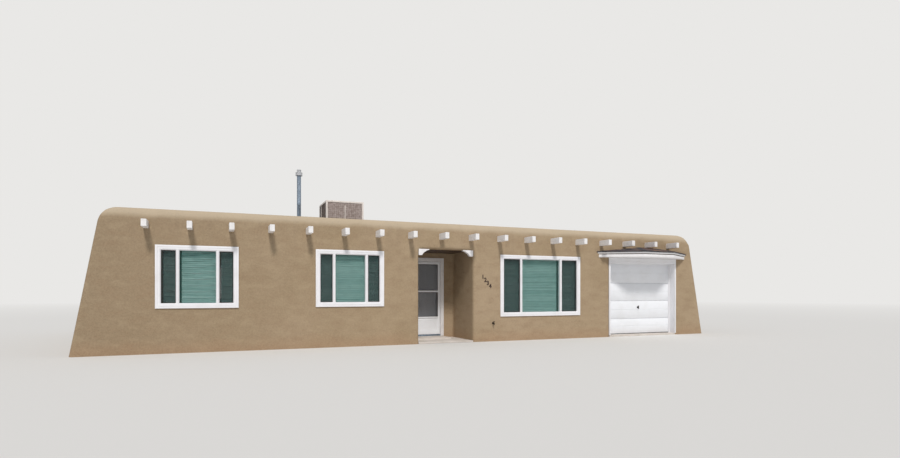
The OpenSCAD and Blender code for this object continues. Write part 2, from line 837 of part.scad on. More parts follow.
module cooler_pads() color("#97897f") {
    z0 = cooler_z + post_w;
    z1 = cooler_top_z - post_w;
    box([cooler_x + post_w, cooler_y + pad_inset, z0],
        [cooler_x1 - post_w, cooler_y + pad_inset + pad_t, z1]);
    box([cooler_x + pad_inset, cooler_y + post_w + pad_t, z0],
        [cooler_x + pad_inset + pad_t, cooler_y1 - vent_l, z1]);
    box([cooler_x1 - pad_inset - pad_t, cooler_y + post_w + pad_t, z0],
        [cooler_x1 - pad_inset, cooler_y1 - vent_l, z1]);
}

// Flue: pipe with a flashing collar, under a cap with a wide band and a narrow crown
cap_h = 178;
cap_band_h = 92;
cap_crown_d = 126;
cap_slope_h = 12;
flashing_h = 90;
flashing_t = 4;
flashing_rim = 90;
module at_flue(z) translate([flue_x, front_y + flue_back, z]) children();

module flue_pipe() color("#a9aeb3") at_flue(0) {
    translate([0, 0, roof_z])
        cylinder(h = flue_top_z - cap_h + cap_band_h - roof_z, d = flue_dia, $fn = 48);
    translate([0, 0, roof_z])
        cylinder(h = flashing_t, d = flue_dia + 2 * flashing_rim, $fn = 48);
    translate([0, 0, roof_z + flashing_t])
        cylinder(h = flashing_h, d1 = flue_dia + 70, d2 = flue_dia + 12, $fn = 48);
}

module flue_cap() color("#c4c8cb") at_flue(flue_top_z - cap_h) rotate_extrude($fn = 64)
    polygon([
        [flue_dia / 2, 0], [flue_cap_dia / 2, 0], [flue_cap_dia / 2, cap_band_h],
        [cap_crown_d / 2, cap_band_h + cap_slope_h], [cap_crown_d / 2, cap_h - cap_slope_h],
        [cap_crown_d / 2 - cap_slope_h, cap_h], [0, cap_h], [0, cap_band_h],
        [flue_dia / 2, cap_band_h]
    ]);

// Hose tap on the wall east of the entry
bib_from_entry = 574;
bib_z = 480;
module hose_bib() color("#8c7346")
    translate([entry_x1 + bib_from_entry, front_y, bib_z]) rotate([90, 0, 0]) {
    cylinder(h = 5, d = 56, $fn = 36);
    cylinder(h = 70, d = 24, $fn = 32);
    translate([0, 0, 70]) sphere(d = 34, $fn = 32);
    translate([0, -44, 70]) rotate([-90, 0, 0]) cylinder(h = 44, d = 22, $fn = 32);
    translate([0, 0, 70]) rotate([-90, 0, 0]) cylinder(h = 42, d = 12, $fn = 24);
    translate([0, 42, 70]) rotate([-90, 0, 0]) cylinder(h = 9, d = 58, $fn = 36);
}

floor_slab();
garage_slab();
porch_slab();
front_wall_west();
front_wall_mid();
front_wall_east();
entry_lintel();
garage_lintel();
end_wall_west();
end_wall_east();
back_wall();
recess_wall_west();
recess_wall_east();
recess_lintel();
porch_ceiling();
roof_beams_west();
roof_beams_east();
roof_deck();
parapet_front();
parapet_back();
parapet_ends();
window_frame_west();
window_frame_centre();
window_frame_east();
back_window_frames();
front_glass();
back_glass();
window_blinds();
entry_casing();
outer_door();
outer_door_panes();
outer_door_handle();
inner_door();
inner_door_knob();
entry_corbels();
garage_casing();
garage_door();
garage_door_handle();
canopy_roof();
canopy_fascia();
air_cooler();
cooler_pads();
flue_pipe();
flue_cap();
hose_bib();
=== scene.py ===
# %% [markdown]
# # An adobe house, dressed around its frame
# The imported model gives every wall, beam and door its exact place, in metres.
# This script keeps those places and adds what a builder's drawing leaves out:
# sand-finished stucco with soft corners, moulded window frames, insect screens,
# blinds, shingles, fibre pads, paint and weather.

import math

import bmesh
import bpy
from mathutils import Matrix, Vector, noise


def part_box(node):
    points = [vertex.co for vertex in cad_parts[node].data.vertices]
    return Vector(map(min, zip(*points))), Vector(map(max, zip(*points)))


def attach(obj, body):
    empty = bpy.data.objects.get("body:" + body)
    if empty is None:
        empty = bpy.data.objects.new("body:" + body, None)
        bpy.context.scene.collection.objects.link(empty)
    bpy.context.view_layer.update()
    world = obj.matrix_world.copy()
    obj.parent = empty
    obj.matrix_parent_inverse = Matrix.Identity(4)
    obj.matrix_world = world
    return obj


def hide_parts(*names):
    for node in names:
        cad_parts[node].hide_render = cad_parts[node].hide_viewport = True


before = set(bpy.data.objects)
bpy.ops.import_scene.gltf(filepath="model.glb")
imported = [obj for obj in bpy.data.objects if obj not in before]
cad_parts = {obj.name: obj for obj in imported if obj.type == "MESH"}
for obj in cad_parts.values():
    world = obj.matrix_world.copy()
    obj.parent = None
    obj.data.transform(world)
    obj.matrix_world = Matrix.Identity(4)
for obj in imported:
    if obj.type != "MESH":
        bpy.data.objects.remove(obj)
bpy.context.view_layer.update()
scene = bpy.context.scene

# %% [markdown]
# ## Colours and node helpers
# Paint charts give colours as sRGB hex values, while Blender's shaders work in
# linear light, so one function turns the first into the second. One more adds a
# node with its settings and its inputs, for shader trees and geometry trees
# alike: an input may be a number, a colour or another node's output.

# %% Helpers for colours and nodes
MM = 0.001


def paint(hex_value):
    """The linear colour of an sRGB hex value."""
    parts = [int(hex_value[i : i + 2], 16) / 255 for i in (1, 3, 5)]
    linear = [p / 12.92 if p <= 0.04045 else ((p + 0.055) / 1.055) ** 2.4 for p in parts]
    return (*linear, 1.0)


def add(tree, kind, inputs=None, **settings):
    """Adds a node with its settings, and sets or links its inputs."""
    made = tree.nodes.new(kind)
    for name, value in settings.items():
        setattr(made, name, value)
    for key, value in (inputs or {}).items():
        if isinstance(value, bpy.types.NodeSocket):
            tree.links.new(value, made.inputs[key])
        else:
            made.inputs[key].default_value = value
    return made


def cleared(data):
    """The node tree of a material or a world, emptied."""
    data.use_nodes = True
    data.node_tree.nodes.clear()
    return data.node_tree


def maths(tree, first, operation, second):
    """One arithmetic step between two values."""
    return add(tree, "ShaderNodeMath", {0: first, 1: second},
               operation=operation).outputs[0]


def span(tree, value, low, high, to_low=0.0, to_high=1.0):
    """Maps a range of values to another, held at both ends."""
    return add(tree, "ShaderNodeMapRange",
               {"Value": value, "From Min": low, "From Max": high,
                "To Min": to_low, "To Max": to_high}).outputs[0]


# %% [markdown]
# ## A base for every material
# Each material starts from a Principled shader whose uniform values are set on
# its own sockets. Real surfaces are layered, a base colour under dust, rust or
# wear, so the colour is built up in coats, each laid on where a pattern is high.
# Patterns read Object coordinates: every piece sits at the origin, so a pattern
# runs on from one piece to the next without a seam.

# %% The base of a material
class Look:
    """A material whose colour is built up in coats over a Principled shader."""

    def __init__(self, name, colour, roughness, **values):
        self.material = bpy.data.materials.new(name)
        self.tree = cleared(self.material)
        self.colour = paint(colour)
        others = {key.replace("_", " "): value for key, value in values.items()}
        self.shader = add(self.tree, "ShaderNodeBsdfPrincipled",
                          {"Base Color": self.colour, "Roughness": roughness, **others})
        add(self.tree, "ShaderNodeOutputMaterial", {"Surface": self.shader.outputs[0]})
        self.where = add(self.tree, "ShaderNodeTexCoord").outputs["Object"]

    def patches(self, size, detail=4.0, roughness=0.55, stretch=None):
        """Noise of a real size, from 0 to 1, stretched along an axis if asked."""
        where = self.where
        if stretch:
            where = add(self.tree, "ShaderNodeVectorMath", {0: where, 1: stretch},
                        operation="MULTIPLY").outputs[0]
        return add(self.tree, "ShaderNodeTexNoise",
                   {"Vector": where, "Scale": 1.0 / size, "Detail": detail,
                    "Roughness": roughness}).outputs["Fac"]

    def tone(self):
        """The random tone that each copy in a row carries."""
        return add(self.tree, "ShaderNodeAttribute", attribute_name="tone").outputs["Fac"]

    def mix(self, share, colour, over=None):
        """Lays a colour over the last one, or over another, by a share."""
        under = paint(over) if over else self.colour
        self.colour = add(self.tree, "ShaderNodeMix", {0: share, 6: under, 7: paint(colour)},
                          data_type="RGBA").outputs[2]

    def coat(self, pattern, low, high, share, colour, over=None):
        """Mixes a colour in where a pattern runs from low to high, up to a share."""
        self.mix(span(self.tree, pattern, low, high, 0.0, share), colour, over)

    def sheen(self, pattern, least, most, low=0.3, high=0.7):
        """Lets the roughness follow a pattern, between two values."""
        self.tree.links.new(span(self.tree, pattern, low, high, least, most),
                            self.shader.inputs["Roughness"])

    def relief(self, height, depth, strength):
        """Bump of a real depth in metres, added over any that is there."""
        normal = self.shader.inputs["Normal"]
        inputs = {"Height": height, "Distance": depth, "Strength": strength}
        if normal.links:
            inputs["Normal"] = normal.links[0].from_socket
        made = add(self.tree, "ShaderNodeBump", inputs)
        self.tree.links.new(made.outputs[0], normal)

    def done(self):
        """Wires the colour that the coats have made and gives the material."""
        self.tree.links.new(self.colour, self.shader.inputs["Base Color"])
        return self.material


# %% [markdown]
# ## Stucco
# The walls wear cement stucco with a sand float finish: matt, a little uneven
# from the trowel, with grains of 1 to 3 mm that give it a dry, chalky look. Rain
# runs off the parapet and leaves faint upright streaks, and splashed soil warms
# the foot of the wall. The crest of the parapet is painted lighter, a painted
# highlight for the light on its roll, and the wall grows darker towards its west
# end, painted shade. The grain is drawn at 9 mm, so that it still shows from the
# street.

# %% Stucco material
def stucco_material():
    look = Look("sand_float_stucco", "#a28d72", 0.93, Specular_IOR_Level=0.18)
    tree = look.tree
    place_x, _, height = add(tree, "ShaderNodeSeparateXYZ", {0: look.where}).outputs
    look.coat(look.patches(1.6, 3.0), 0.35, 0.68, 1.0, "#a8937a", over="#9b876c")
    # Painted shade: the wall grows darker towards its west end, from x = -2 m to -8 m.
    look.coat(place_x, -2.0, -8.0, 0.85, "#8b7962")
    trowel = look.patches(0.15, 5.0, stretch=(0.45, 0.45, 1.0))
    look.coat(trowel, 0.50, 0.68, 0.50, "#8f7860")
    look.coat(trowel, 0.48, 0.32, 0.26, "#b5a286")
    streaks = look.patches(0.16, 4.0, stretch=(1.0, 1.0, 0.05))
    streaks = span(tree, streaks, 0.52, 0.72, 0.0, 0.32)
    look.mix(maths(tree, streaks, "MULTIPLY", span(tree, height, 2.1, 3.0)), "#857260")
    uneven = look.patches(0.5)
    # Painted highlight: the parapet's crest is lightened from about 2.79 m up, with a ragged
    # lower edge, for the light that falls on its roll.
    crest = maths(tree, height, "SUBTRACT", maths(tree, uneven, "MULTIPLY", 0.1))
    look.coat(crest, 2.79, 2.90, 0.62, "#cfc1ab")
    foot = maths(tree, height, "SUBTRACT", maths(tree, uneven, "MULTIPLY", 0.35))
    look.coat(foot, 0.16, -0.10, 0.35, "#a17c60")
    float_marks = look.patches(38 * MM, 6.0, 0.75)
    look.coat(float_marks, 0.4, 0.7, 0.42, "#b39e82")
    look.coat(float_marks, 0.52, 0.25, 0.34, "#87745d")
    sand = look.patches(9 * MM, 2.0, 0.7)
    look.coat(sand, 0.4, 0.62, 0.22, "#c0ab8d")
    look.relief(trowel, 5 * MM, 0.5)
    look.relief(float_marks, 2.5 * MM, 0.5)
    look.relief(sand, 2.2 * MM, 0.6)
    return look.done()


STUCCO = stucco_material()

# %% [markdown]
# ## Paint, plastic and metal
# White paint on rough-sawn wood keeps the grain's ridges. Vinyl window frames
# are extruded, so they are smooth, with a soft sheen. Sprayed steel doors are
# smooth and a little glossier.

# %% Painted wood, vinyl and painted steel
WOOD_DIRT = "#9a9389"


def painted_wood(name, colour, along, wear):
    """White paint over sawn grain that runs along one axis (0, 1 or 2)."""
    look = Look(name, colour, 0.55)
    stretch = [0.04 if axis == along else 1.0 for axis in range(3)]
    grain = look.patches(9 * MM, 5.0, 0.6, stretch)
    soil = look.patches(0.13, 5.0)
    look.coat(soil, 0.48, 0.78, wear, WOOD_DIRT)
    look.coat(grain, 0.56, 0.75, 0.30, WOOD_DIRT)
    look.sheen(soil, 0.48, 0.68)
    look.relief(grain, 1.2 * MM, 0.7)
    return look.done()


def smooth_white(name, colour, roughness, dust):
    """A smooth white surface with a film of dust."""
    look = Look(name, colour, roughness)
    soil = look.patches(0.3, 5.0)
    look.coat(soil, 0.45, 0.8, dust, "#a79f93")
    look.sheen(soil, roughness - 0.05, roughness + 0.12)
    look.relief(look.patches(35 * MM, 2.0), 0.6 * MM, 0.4)
    return look.done()


BEAM_PAINT = painted_wood("rough_sawn_white_timber", "#f0eeee", 1, 0.25)
TRIM_X = painted_wood("white_trim_wood_level", "#efedee", 0, 0.18)
TRIM_Z = painted_wood("white_trim_wood_upright", "#efedee", 2, 0.18)
VINYL = smooth_white("extruded_white_vinyl", "#f2f1f4", 0.34, 0.14)
DOOR_STEEL = smooth_white("enamelled_white_steel", "#eef0f4", 0.38, 0.12)
DOOR_PAINT = smooth_white("gloss_white_door_paint", "#eeeef1", 0.36, 0.12)

# %% [markdown]
# ## Concrete, metal and small finishes
# Trowelled concrete is mottled and faintly pitted. Galvanised steel shows its
# zinc crystals, called spangle, as soft angular patches of 10 to 25 mm; the
# flue's zinc has a blue tint, a painted reflection of the sky. Handled metal is
# rubbed: its second tone follows a fine pattern of its own.

# %% Concrete, zinc, dark metal and brass
def concrete_material():
    look = Look("trowelled_concrete", "#cfc6be", 0.85)
    look.coat(look.patches(0.35, 6.0), 0.3, 0.7, 1.0, "#dad2cb", over="#c1b8af")
    pits = look.patches(12 * MM, 3.0, 0.7)
    look.coat(pits, 0.62, 0.75, 0.5, "#958c82")
    look.relief(pits, 2 * MM, 0.5)
    return look.done()


def zinc_material(name, dark, light, dulled):
    """Spangle between two tones, with patches where the zinc has dulled."""
    look = Look(name, light, 0.42, Metallic=0.85)
    spangle = add(look.tree, "ShaderNodeTexVoronoi",
                  {"Vector": look.where, "Scale": 1.0 / (22 * MM)}).outputs["Color"]
    flake = add(look.tree, "ShaderNodeSeparateColor", {0: spangle}).outputs[0]
    look.coat(flake, 0.0, 1.0, 1.0, light, over=dark)
    dull = look.patches(0.12, 5.0)
    look.coat(dull, 0.5, 0.75, 0.45, dulled)
    look.sheen(flake, 0.34, 0.52, 0.0, 1.0)
    look.relief(dull, 1.5 * MM, 0.3)
    return look.done()


def worn_metal(name, colour, worn, roughness, metallic):
    """Metal or enamel with rubbed patches of a second tone."""
    look = Look(name, colour, roughness, Metallic=metallic)
    rub = look.patches(18 * MM)
    look.coat(rub, 0.45, 0.7, 1.0, worn)
    look.sheen(rub, roughness - 0.08, roughness + 0.12)
    look.relief(rub, 0.4 * MM, 0.4)
    return look.done()


CONCRETE = concrete_material()
# Blue-grey tones: the blue is a painted reflection of the sky on the zinc.
SKY_TINTED_ZINC = zinc_material("galvanised_steel_painted_sky_tint", "#728090", "#98a6b5", "#6d7174")
CAP_ZINC = zinc_material("bright_galvanised_steel", "#b2b4b9", "#d2d4d8", "#a8a8a6")
DARK_METAL = worn_metal("blackened_steel", "#3b3835", "#57524c", 0.45, 0.6)
BRASS = worn_metal("weathered_brass", "#8f7440", "#5e4d30", 0.42, 0.9)
TARNISHED = worn_metal("tarnished_brass", "#332d25", "#23201c", 0.55, 0.5)
DIGIT_PAINT = worn_metal("dark_brown_enamel", "#33211a", "#44302a", 0.5, 0.0)

# %% [markdown]
# ## Meshes
# A new piece is made in a bmesh in world coordinates, so its object sits at the
# origin and turns with its body without a jump. Small bevels catch the light on
# every edge that a saw, a mould or a brush would have softened. A modifier is
# carried out at once on an object that only holds the mesh for it.

# %% Helpers for objects and modifiers
HOUSE = "house"
BEVEL_FROM = math.radians(30)


def stand(name, data):
    """An object in the scene that holds some data."""
    made = bpy.data.objects.new(name, data)
    scene.collection.objects.link(made)
    return made


def evaluated(holder):
    """The mesh that an object's text or modifiers make; the object goes."""
    graph = bpy.context.evaluated_depsgraph_get()
    graph.update()
    mesh = bpy.data.meshes.new_from_object(holder.evaluated_get(graph))
    bpy.data.objects.remove(holder)
    return mesh


def modified(mesh, kind, **settings):
    """The mesh that one modifier makes of another."""
    holder = stand("holder", mesh)
    modifier = holder.modifiers.new("step", kind)
    for name, value in settings.items():
        setattr(modifier, name, value)
    return evaluated(holder)


def mesh_of(bm):
    """Turns a bmesh into a mesh and frees it."""
    mesh = bpy.data.meshes.new("shape")
    bm.to_mesh(mesh)
    bm.free()
    return mesh


def place(made, name, material, body=HOUSE, replaces=(), bevel=0.0, segments=2,
          degrees=35):
    """Makes a finished piece of a mesh or bmesh, and lets it ride on a body.

    It is shaded smooth, with a crease wherever faces meet at more than the
    degrees given.
    """
    mesh = mesh_of(made) if isinstance(made, bmesh.types.BMesh) else made
    if bevel:
        mesh = modified(mesh, "BEVEL", width=bevel, segments=segments,
                        limit_method="ANGLE", angle_limit=BEVEL_FROM)
    mesh.name = name
    if not mesh.materials:
        mesh.materials.append(material)
    mesh.shade_smooth()
    mesh.set_sharp_from_angle(angle=math.radians(degrees))
    piece = stand(name, mesh)
    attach(piece, body)
    if replaces:
        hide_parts(*replaces)
    print(name, len(mesh.polygons), "faces")


# %% [markdown]
# Nearly every joiner's or sheet metal part has one section all along, so the
# shapes below are sections in millimetres: pushed along an axis, or swept round a
# rectangle with mitred corners. Both join loops of points with faces.

# %% Helpers for shapes
def block(bm, low, high):
    """Adds a closed block between two corners."""
    low, high = Vector(low), Vector(high)
    for v in bmesh.ops.create_cube(bm, size=1.0)["verts"]:
        v.co = v.co * (high - low) + (low + high) / 2


def rounded(bm, width, segments=2):
    """Bevels every edge of a bmesh."""
    bmesh.ops.bevel(bm, geom=bm.edges[:], offset=width, segments=segments,
                    affect="EDGES")


def cut(bm, at, normal, clear_outer=False):
    """Cuts a bmesh with a plane, and clears what lies beyond it if asked."""
    return bmesh.ops.bisect_plane(bm, geom=bm.verts[:] + bm.edges[:] + bm.faces[:],
                                  plane_co=at, plane_no=normal, clear_outer=clear_outer)


def skin(bm, loops, sides):
    """Faces between each loop of vertices and the next; one vertex is a pole."""
    made = []
    for first, second in zip(loops, loops[1:]):
        for i in range(sides):
            corners = [first[i % len(first)], first[(i + 1) % len(first)],
                       second[(i + 1) % len(second)], second[i % len(second)]]
            unique = list(dict.fromkeys(corners))
            if len(unique) > 2:
                made.append(bm.faces.new(unique))
    return made


def mitred_frame(bm, low, high, profile, face, out=1, margin=0, open_foot=False):
    """Sweeps a closed profile round a rectangle in the X-Z plane.

    low and high are the rectangle's corners, moved outwards by a margin. Each
    point of the profile is (inset from its edge, way from the plane y = face),
    and out says whether that way is +Y (1) or -Y (-1). With open_foot the frame
    has no bottom member and its legs end at the height of low.
    """
    loops = []
    for inset, way in profile:
        inset, y = (inset - margin) * MM, face + out * way * MM
        left, right, top = low.x + inset, high.x - inset, high.z - inset
        foot = low.z if open_foot else low.z + inset
        loops.append([bm.verts.new(point) for point in (
            (left, y, foot), (left, y, top), (right, y, top), (right, y, foot))])
    made = skin(bm, loops + loops[:1], 3 if open_foot else 4)
    if open_foot:
        made += [bm.faces.new([loop[i] for loop in loops]) for i in (0, 3)]
    bmesh.ops.recalc_face_normals(bm, faces=made)


def extruded(bm, outline, axis, start, end, origin=(0.0, 0.0), unit=MM):
    """A closed prism: an outline of (a, b) points, pushed along X, Y or Z."""
    ends = []
    for c in (start, end):
        points = [(origin[0] + a * unit, origin[1] + b * unit) for a, b in outline]
        ends.append([bm.verts.new(((c, a, b), (a, c, b), (a, b, c))[axis])
                     for a, b in points])
    made = [bm.faces.new(loop) for loop in ends] + skin(bm, ends, len(outline))
    bmesh.ops.recalc_face_normals(bm, faces=made)


def merged_copy(node):
    """A bmesh copy of a CAD node, its loose triangles joined up again."""
    bm = bmesh.new()
    bm.from_mesh(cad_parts[node].data)
    bmesh.ops.remove_doubles(bm, verts=bm.verts, dist=0.02 * MM)
    bmesh.ops.dissolve_limit(bm, angle_limit=math.radians(0.4),
                             verts=bm.verts, edges=bm.edges)
    return bm


def softened(node, material, bevel, segments=2):
    """A CAD node's own shape with softened edges, in place of the node."""
    place(merged_copy(node), node + "_soft", material, replaces=(node,),
          bevel=bevel, segments=segments)


# %% [markdown]
# ## The camera
# The photograph was taken from eye height, a little right of the west window,
# with a level camera turned 22.9 degrees to the right, and later cropped, which
# the vertical shift repeats. The stage is a pale floor that fades into a pale
# background.

# %% Camera
CAMERA_AT = (-5.793, -17.508, 1.295)
CAMERA_TURN = math.radians(22.86)
FOCAL_PX = 561.5
PHOTO_WIDTH = 900
HORIZON_BELOW_MIDDLE = 63.4
SENSOR = 36.0

camera_data = bpy.data.cameras.new("camera")
camera_data.sensor_width = SENSOR
camera_data.lens = SENSOR * FOCAL_PX / PHOTO_WIDTH
camera_data.shift_y = HORIZON_BELOW_MIDDLE / PHOTO_WIDTH
camera_data.clip_end = 500
camera = stand("camera", camera_data)
camera.location = CAMERA_AT
camera.rotation_euler = (math.pi / 2, 0.0, -CAMERA_TURN)
scene.camera = camera
print("lens", round(camera_data.lens, 2), "mm, shift", round(camera_data.shift_y, 4))

# %% Light and stage
PALE = "#e9e8e6"
FLOOR_RADIUS = 260
FADE_FROM, FADE_TO = 20.0, 70.0
scene.view_settings.view_transform = "Standard"


def lighting():
    """Even sky light, and a soft high key from the photograph's sunny side."""
    world = bpy.data.worlds.new("studio")
    scene.world = world
    tree = cleared(world)
    rays = add(tree, "ShaderNodeLightPath").outputs
    seen = maths(tree, rays["Is Camera Ray"], "MAXIMUM", rays["Is Glossy Ray"])
    seen = maths(tree, seen, "MAXIMUM", rays["Is Transmission Ray"])
    light = add(tree, "ShaderNodeBackground", {0: paint("#eef2f8"), 1: 0.52})
    backdrop = add(tree, "ShaderNodeBackground", {0: paint(PALE), 1: 1.0})
    mixed = add(tree, "ShaderNodeMixShader",
                {0: seen, 1: light.outputs[0], 2: backdrop.outputs[0]})
    add(tree, "ShaderNodeOutputWorld", {0: mixed.outputs[0]})
    key_data = bpy.data.lights.new("key", "SUN")
    key_data.energy = 2.15
    key_data.angle = math.radians(9)
    key_data.color = (1.0, 0.975, 0.94)
    key = stand("key", key_data)
    key.rotation_mode = "QUATERNION"
    key.rotation_quaternion = Vector((0.19, 1.0, -1.2)).to_track_quat("-Z", "Y")


def stage_floor():
    """A wide pale floor that fades into the backdrop, but keeps the shadow."""
    bm = bmesh.new()
    bmesh.ops.create_circle(bm, cap_ends=True, radius=FLOOR_RADIUS, segments=96)
    floor = stand("stage_floor", mesh_of(bm))
    floor.location.z = -0.5 * MM
    material = bpy.data.materials.new("pale_studio_floor")
    tree = cleared(material)
    where = add(tree, "ShaderNodeTexCoord").outputs["Object"]
    far = add(tree, "ShaderNodeVectorMath", {0: where}, operation="LENGTH").outputs["Value"]
    rays = add(tree, "ShaderNodeLightPath").outputs
    seen = maths(tree, rays["Is Camera Ray"], "MAXIMUM", rays["Is Glossy Ray"])
    fade = maths(tree, span(tree, far, FADE_FROM, FADE_TO), "MULTIPLY", seen)
    matt = add(tree, "ShaderNodeBsdfDiffuse", {0: paint("#dddbd8")}).outputs[0]
    glow = add(tree, "ShaderNodeEmission", {0: paint(PALE), 1: 1.0}).outputs[0]
    both = add(tree, "ShaderNodeMixShader", {0: fade, 1: matt, 2: glow}).outputs[0]
    add(tree, "ShaderNodeOutputMaterial", {0: both})
    floor.data.materials.append(material)


lighting()
stage_floor()

# %% [markdown]
# ## The stucco shell
# On the real house the stucco is one coat over every wall, so no wall piece
# shows a joint and every corner is rounded by the plasterer's float. The wall
# solids are joined into one, remeshed into an even skin, relaxed until the
# corners are round, and pushed in here and there by a few millimetres, as a
# hand-applied coat is. Relaxing sinks the crest of the parapet, so it is drawn up
# again, and its front and back are relaxed further into one full roll. The beam
# pockets are closed first, because the coat runs tight to the beams. A remesh
# lays its faces on an upright grid, which would cut steps along a leaning edge,
# so the end walls are sheared upright before it and leaned back after it.

# %% Stucco shell
WALLS = [
    "front_wall_west", "front_wall_mid", "front_wall_east", "entry_lintel",
    "garage_lintel", "end_wall_west", "end_wall_east", "back_wall",
    "recess_wall_west", "recess_wall_east", "recess_lintel",
    "parapet_front", "parapet_back", "parapet_ends",
]
VOXEL = 34 * MM
ROUNDING_STEPS = 7
COAT_WAVE = 6 * MM
WAVES = ((0.9, 0.6), (0.33, 0.4))
STEADY_FOOT = 0.3
BELOW_GROUND = 0.15
LEAN_WEST = 0.178
LEAN_EAST = 0.190
UPRIGHT_FROM, UPRIGHT_SPAN = 7.36, 0.75
ROLL_ABOVE_SEAT = 0.15
CREST_STEPS = 26
SHELL_SHARE = 0.36


def held(value, low=0.0, high=1.0):
    """A value held between two limits."""
    return min(max(value, low), high)


def shell_source():
    """The wall solids as one mesh, run on below the ground, pockets closed."""
    bm = bmesh.new()
    for name in WALLS:
        bm.from_mesh(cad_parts[name].data)
    bmesh.ops.remove_doubles(bm, verts=bm.verts, dist=0.02 * MM)
    west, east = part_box("end_wall_west")[0].x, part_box("end_wall_east")[1].x
    for v in bm.verts:
        if v.co.z < MM:
            v.co.z = -BELOW_GROUND
            if v.co.x < west + MM:
                v.co.x -= LEAN_WEST * BELOW_GROUND
            if v.co.x > east - MM:
                v.co.x += LEAN_EAST * BELOW_GROUND
    deck_low, deck_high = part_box("roof_deck")
    for wall in ("parapet_front", "parapet_back"):
        low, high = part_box(wall)
        block(bm, (deck_low.x, low.y + VOXEL, low.z - 2 * VOXEL),
              (deck_high.x, high.y - VOXEL, deck_low.z + VOXEL))
    return bm


def shear_ends(bm, back):
    """Stands the leaning end walls upright, or with back leans them again."""
    for v in bm.verts:
        drop = (LEAN_WEST if v.co.x < 0 else LEAN_EAST) * v.co.z
        far = abs(v.co.x)
        if back:
            far -= drop * held((far - UPRIGHT_FROM) / UPRIGHT_SPAN)
        elif far > UPRIGHT_FROM + UPRIGHT_SPAN - drop:
            far += drop
        elif far > UPRIGHT_FROM:
            far = (far - drop * UPRIGHT_FROM / UPRIGHT_SPAN) / (1 - drop / UPRIGHT_SPAN)
        v.co.x = math.copysign(far, v.co.x)


def roll_crest(bm):
    """Draws the sunk crest up again and relaxes it into one full roll."""
    seat, crest = (corner.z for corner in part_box("parapet_front"))
    sunk = crest - max(v.co.z for v in bm.verts)
    for v in bm.verts:
        v.co.z += sunk * held((v.co.z - seat) / (crest - seat))
    roll = [v for v in bm.verts if v.co.z > seat + ROLL_ABOVE_SEAT]
    for _ in range(CREST_STEPS):
        bmesh.ops.smooth_vert(bm, verts=roll, factor=0.5, use_axis_y=True)


def stucco_shell():
    bm = shell_source()
    shear_ends(bm, back=False)
    mesh = modified(mesh_of(bm), "REMESH", mode="VOXEL", voxel_size=VOXEL)
    mesh = modified(mesh, "SMOOTH", factor=0.5, iterations=ROUNDING_STEPS)
    bm = bmesh.new()
    bm.from_mesh(mesh)
    shear_ends(bm, back=True)
    made = cut(bm, (0, 0, 0), (0, 0, -1), clear_outer=True)
    rim = [e for e in made["geom_cut"] if isinstance(e, bmesh.types.BMEdge)]
    bmesh.ops.triangle_fill(bm, use_beauty=True, edges=rim, normal=(0, 0, -1))
    roll_crest(bm)
    bm.normal_update()
    for v in bm.verts:
        wave = sum(noise.noise(v.co / size) * share for size, share in WAVES)
        push = COAT_WAVE * (0.5 + 0.5 * wave) * min(1.0, v.co.z / STEADY_FOOT)
        v.co -= v.normal * push
        v.co.z = max(v.co.z, 0.0)
    mesh = modified(mesh_of(bm), "DECIMATE", ratio=SHELL_SHARE)
    place(mesh, "stucco_shell", STUCCO, replaces=WALLS, degrees=60)


stucco_shell()

# %% [markdown]
# ## Rows of copies
# Beams, slats, screen wires, boards and shingles are all one shape set out in a
# row. What repeats is made by Geometry Nodes: one tree takes the shape as its
# input, copies it from a start by a step, turns and shifts each copy by a small
# random amount, and gives each copy a random tone that its material can read.
# Its named inputs are set by each socket's identifier, and the result is turned
# into a plain mesh, because an exported model keeps no instances.

# %% The tree for a row of copies
ROW_INPUTS = {
    "Geometry": "Geometry", "Start": "Vector", "Step": "Vector", "Count": "Int",
    "Turn": "Vector", "Shift": "Vector", "Seed": "Int", "Material": "Material",
}


def row_tree():
    tree = bpy.data.node_groups.new("row_of_copies", "GeometryNodeTree")
    for label, kind in ROW_INPUTS.items():
        tree.interface.new_socket(label, in_out="INPUT", socket_type="NodeSocket" + kind)
    tree.interface.new_socket("Geometry", in_out="OUTPUT",
                              socket_type="NodeSocketGeometry")
    given = tree.nodes.new("NodeGroupInput").outputs

    def seeded(kind, step, inputs=None):
        seed = maths(tree, given["Seed"], "ADD", step)
        return add(tree, "FunctionNodeRandomValue", {**(inputs or {}), "Seed": seed},
                   data_type=kind).outputs

    def either_way(limit, step):
        least = add(tree, "ShaderNodeVectorMath", {0: limit, 1: (-1.0, -1.0, -1.0)},
                    operation="MULTIPLY").outputs[0]
        return seeded("FLOAT_VECTOR", step, {0: least, 1: limit})[0]

    made = add(tree, "GeometryNodeMeshLine",
               {"Count": given["Count"], "Start Location": given["Start"],
                "Offset": given["Step"]}, mode="OFFSET").outputs[0]
    made = add(tree, "GeometryNodeSetPosition",
               {"Geometry": made, "Offset": either_way(given["Shift"], 11.0)}).outputs[0]
    made = add(tree, "GeometryNodeInstanceOnPoints",
               {"Points": made, "Instance": given["Geometry"],
                "Rotation": either_way(given["Turn"], 23.0)}).outputs[0]
    made = add(tree, "GeometryNodeStoreNamedAttribute",
               {"Geometry": made, "Name": "tone", "Value": seeded("FLOAT", 37.0)[1]},
               data_type="FLOAT", domain="INSTANCE").outputs[0]
    made = add(tree, "GeometryNodeRealizeInstances", {0: made}).outputs[0]
    made = add(tree, "GeometryNodeSetMaterial",
               {"Geometry": made, "Material": given["Material"]}).outputs[0]
    add(tree, "NodeGroupOutput", {0: made})
    return tree


ROW = row_tree()
STILL = (0.0, 0.0, 0.0)


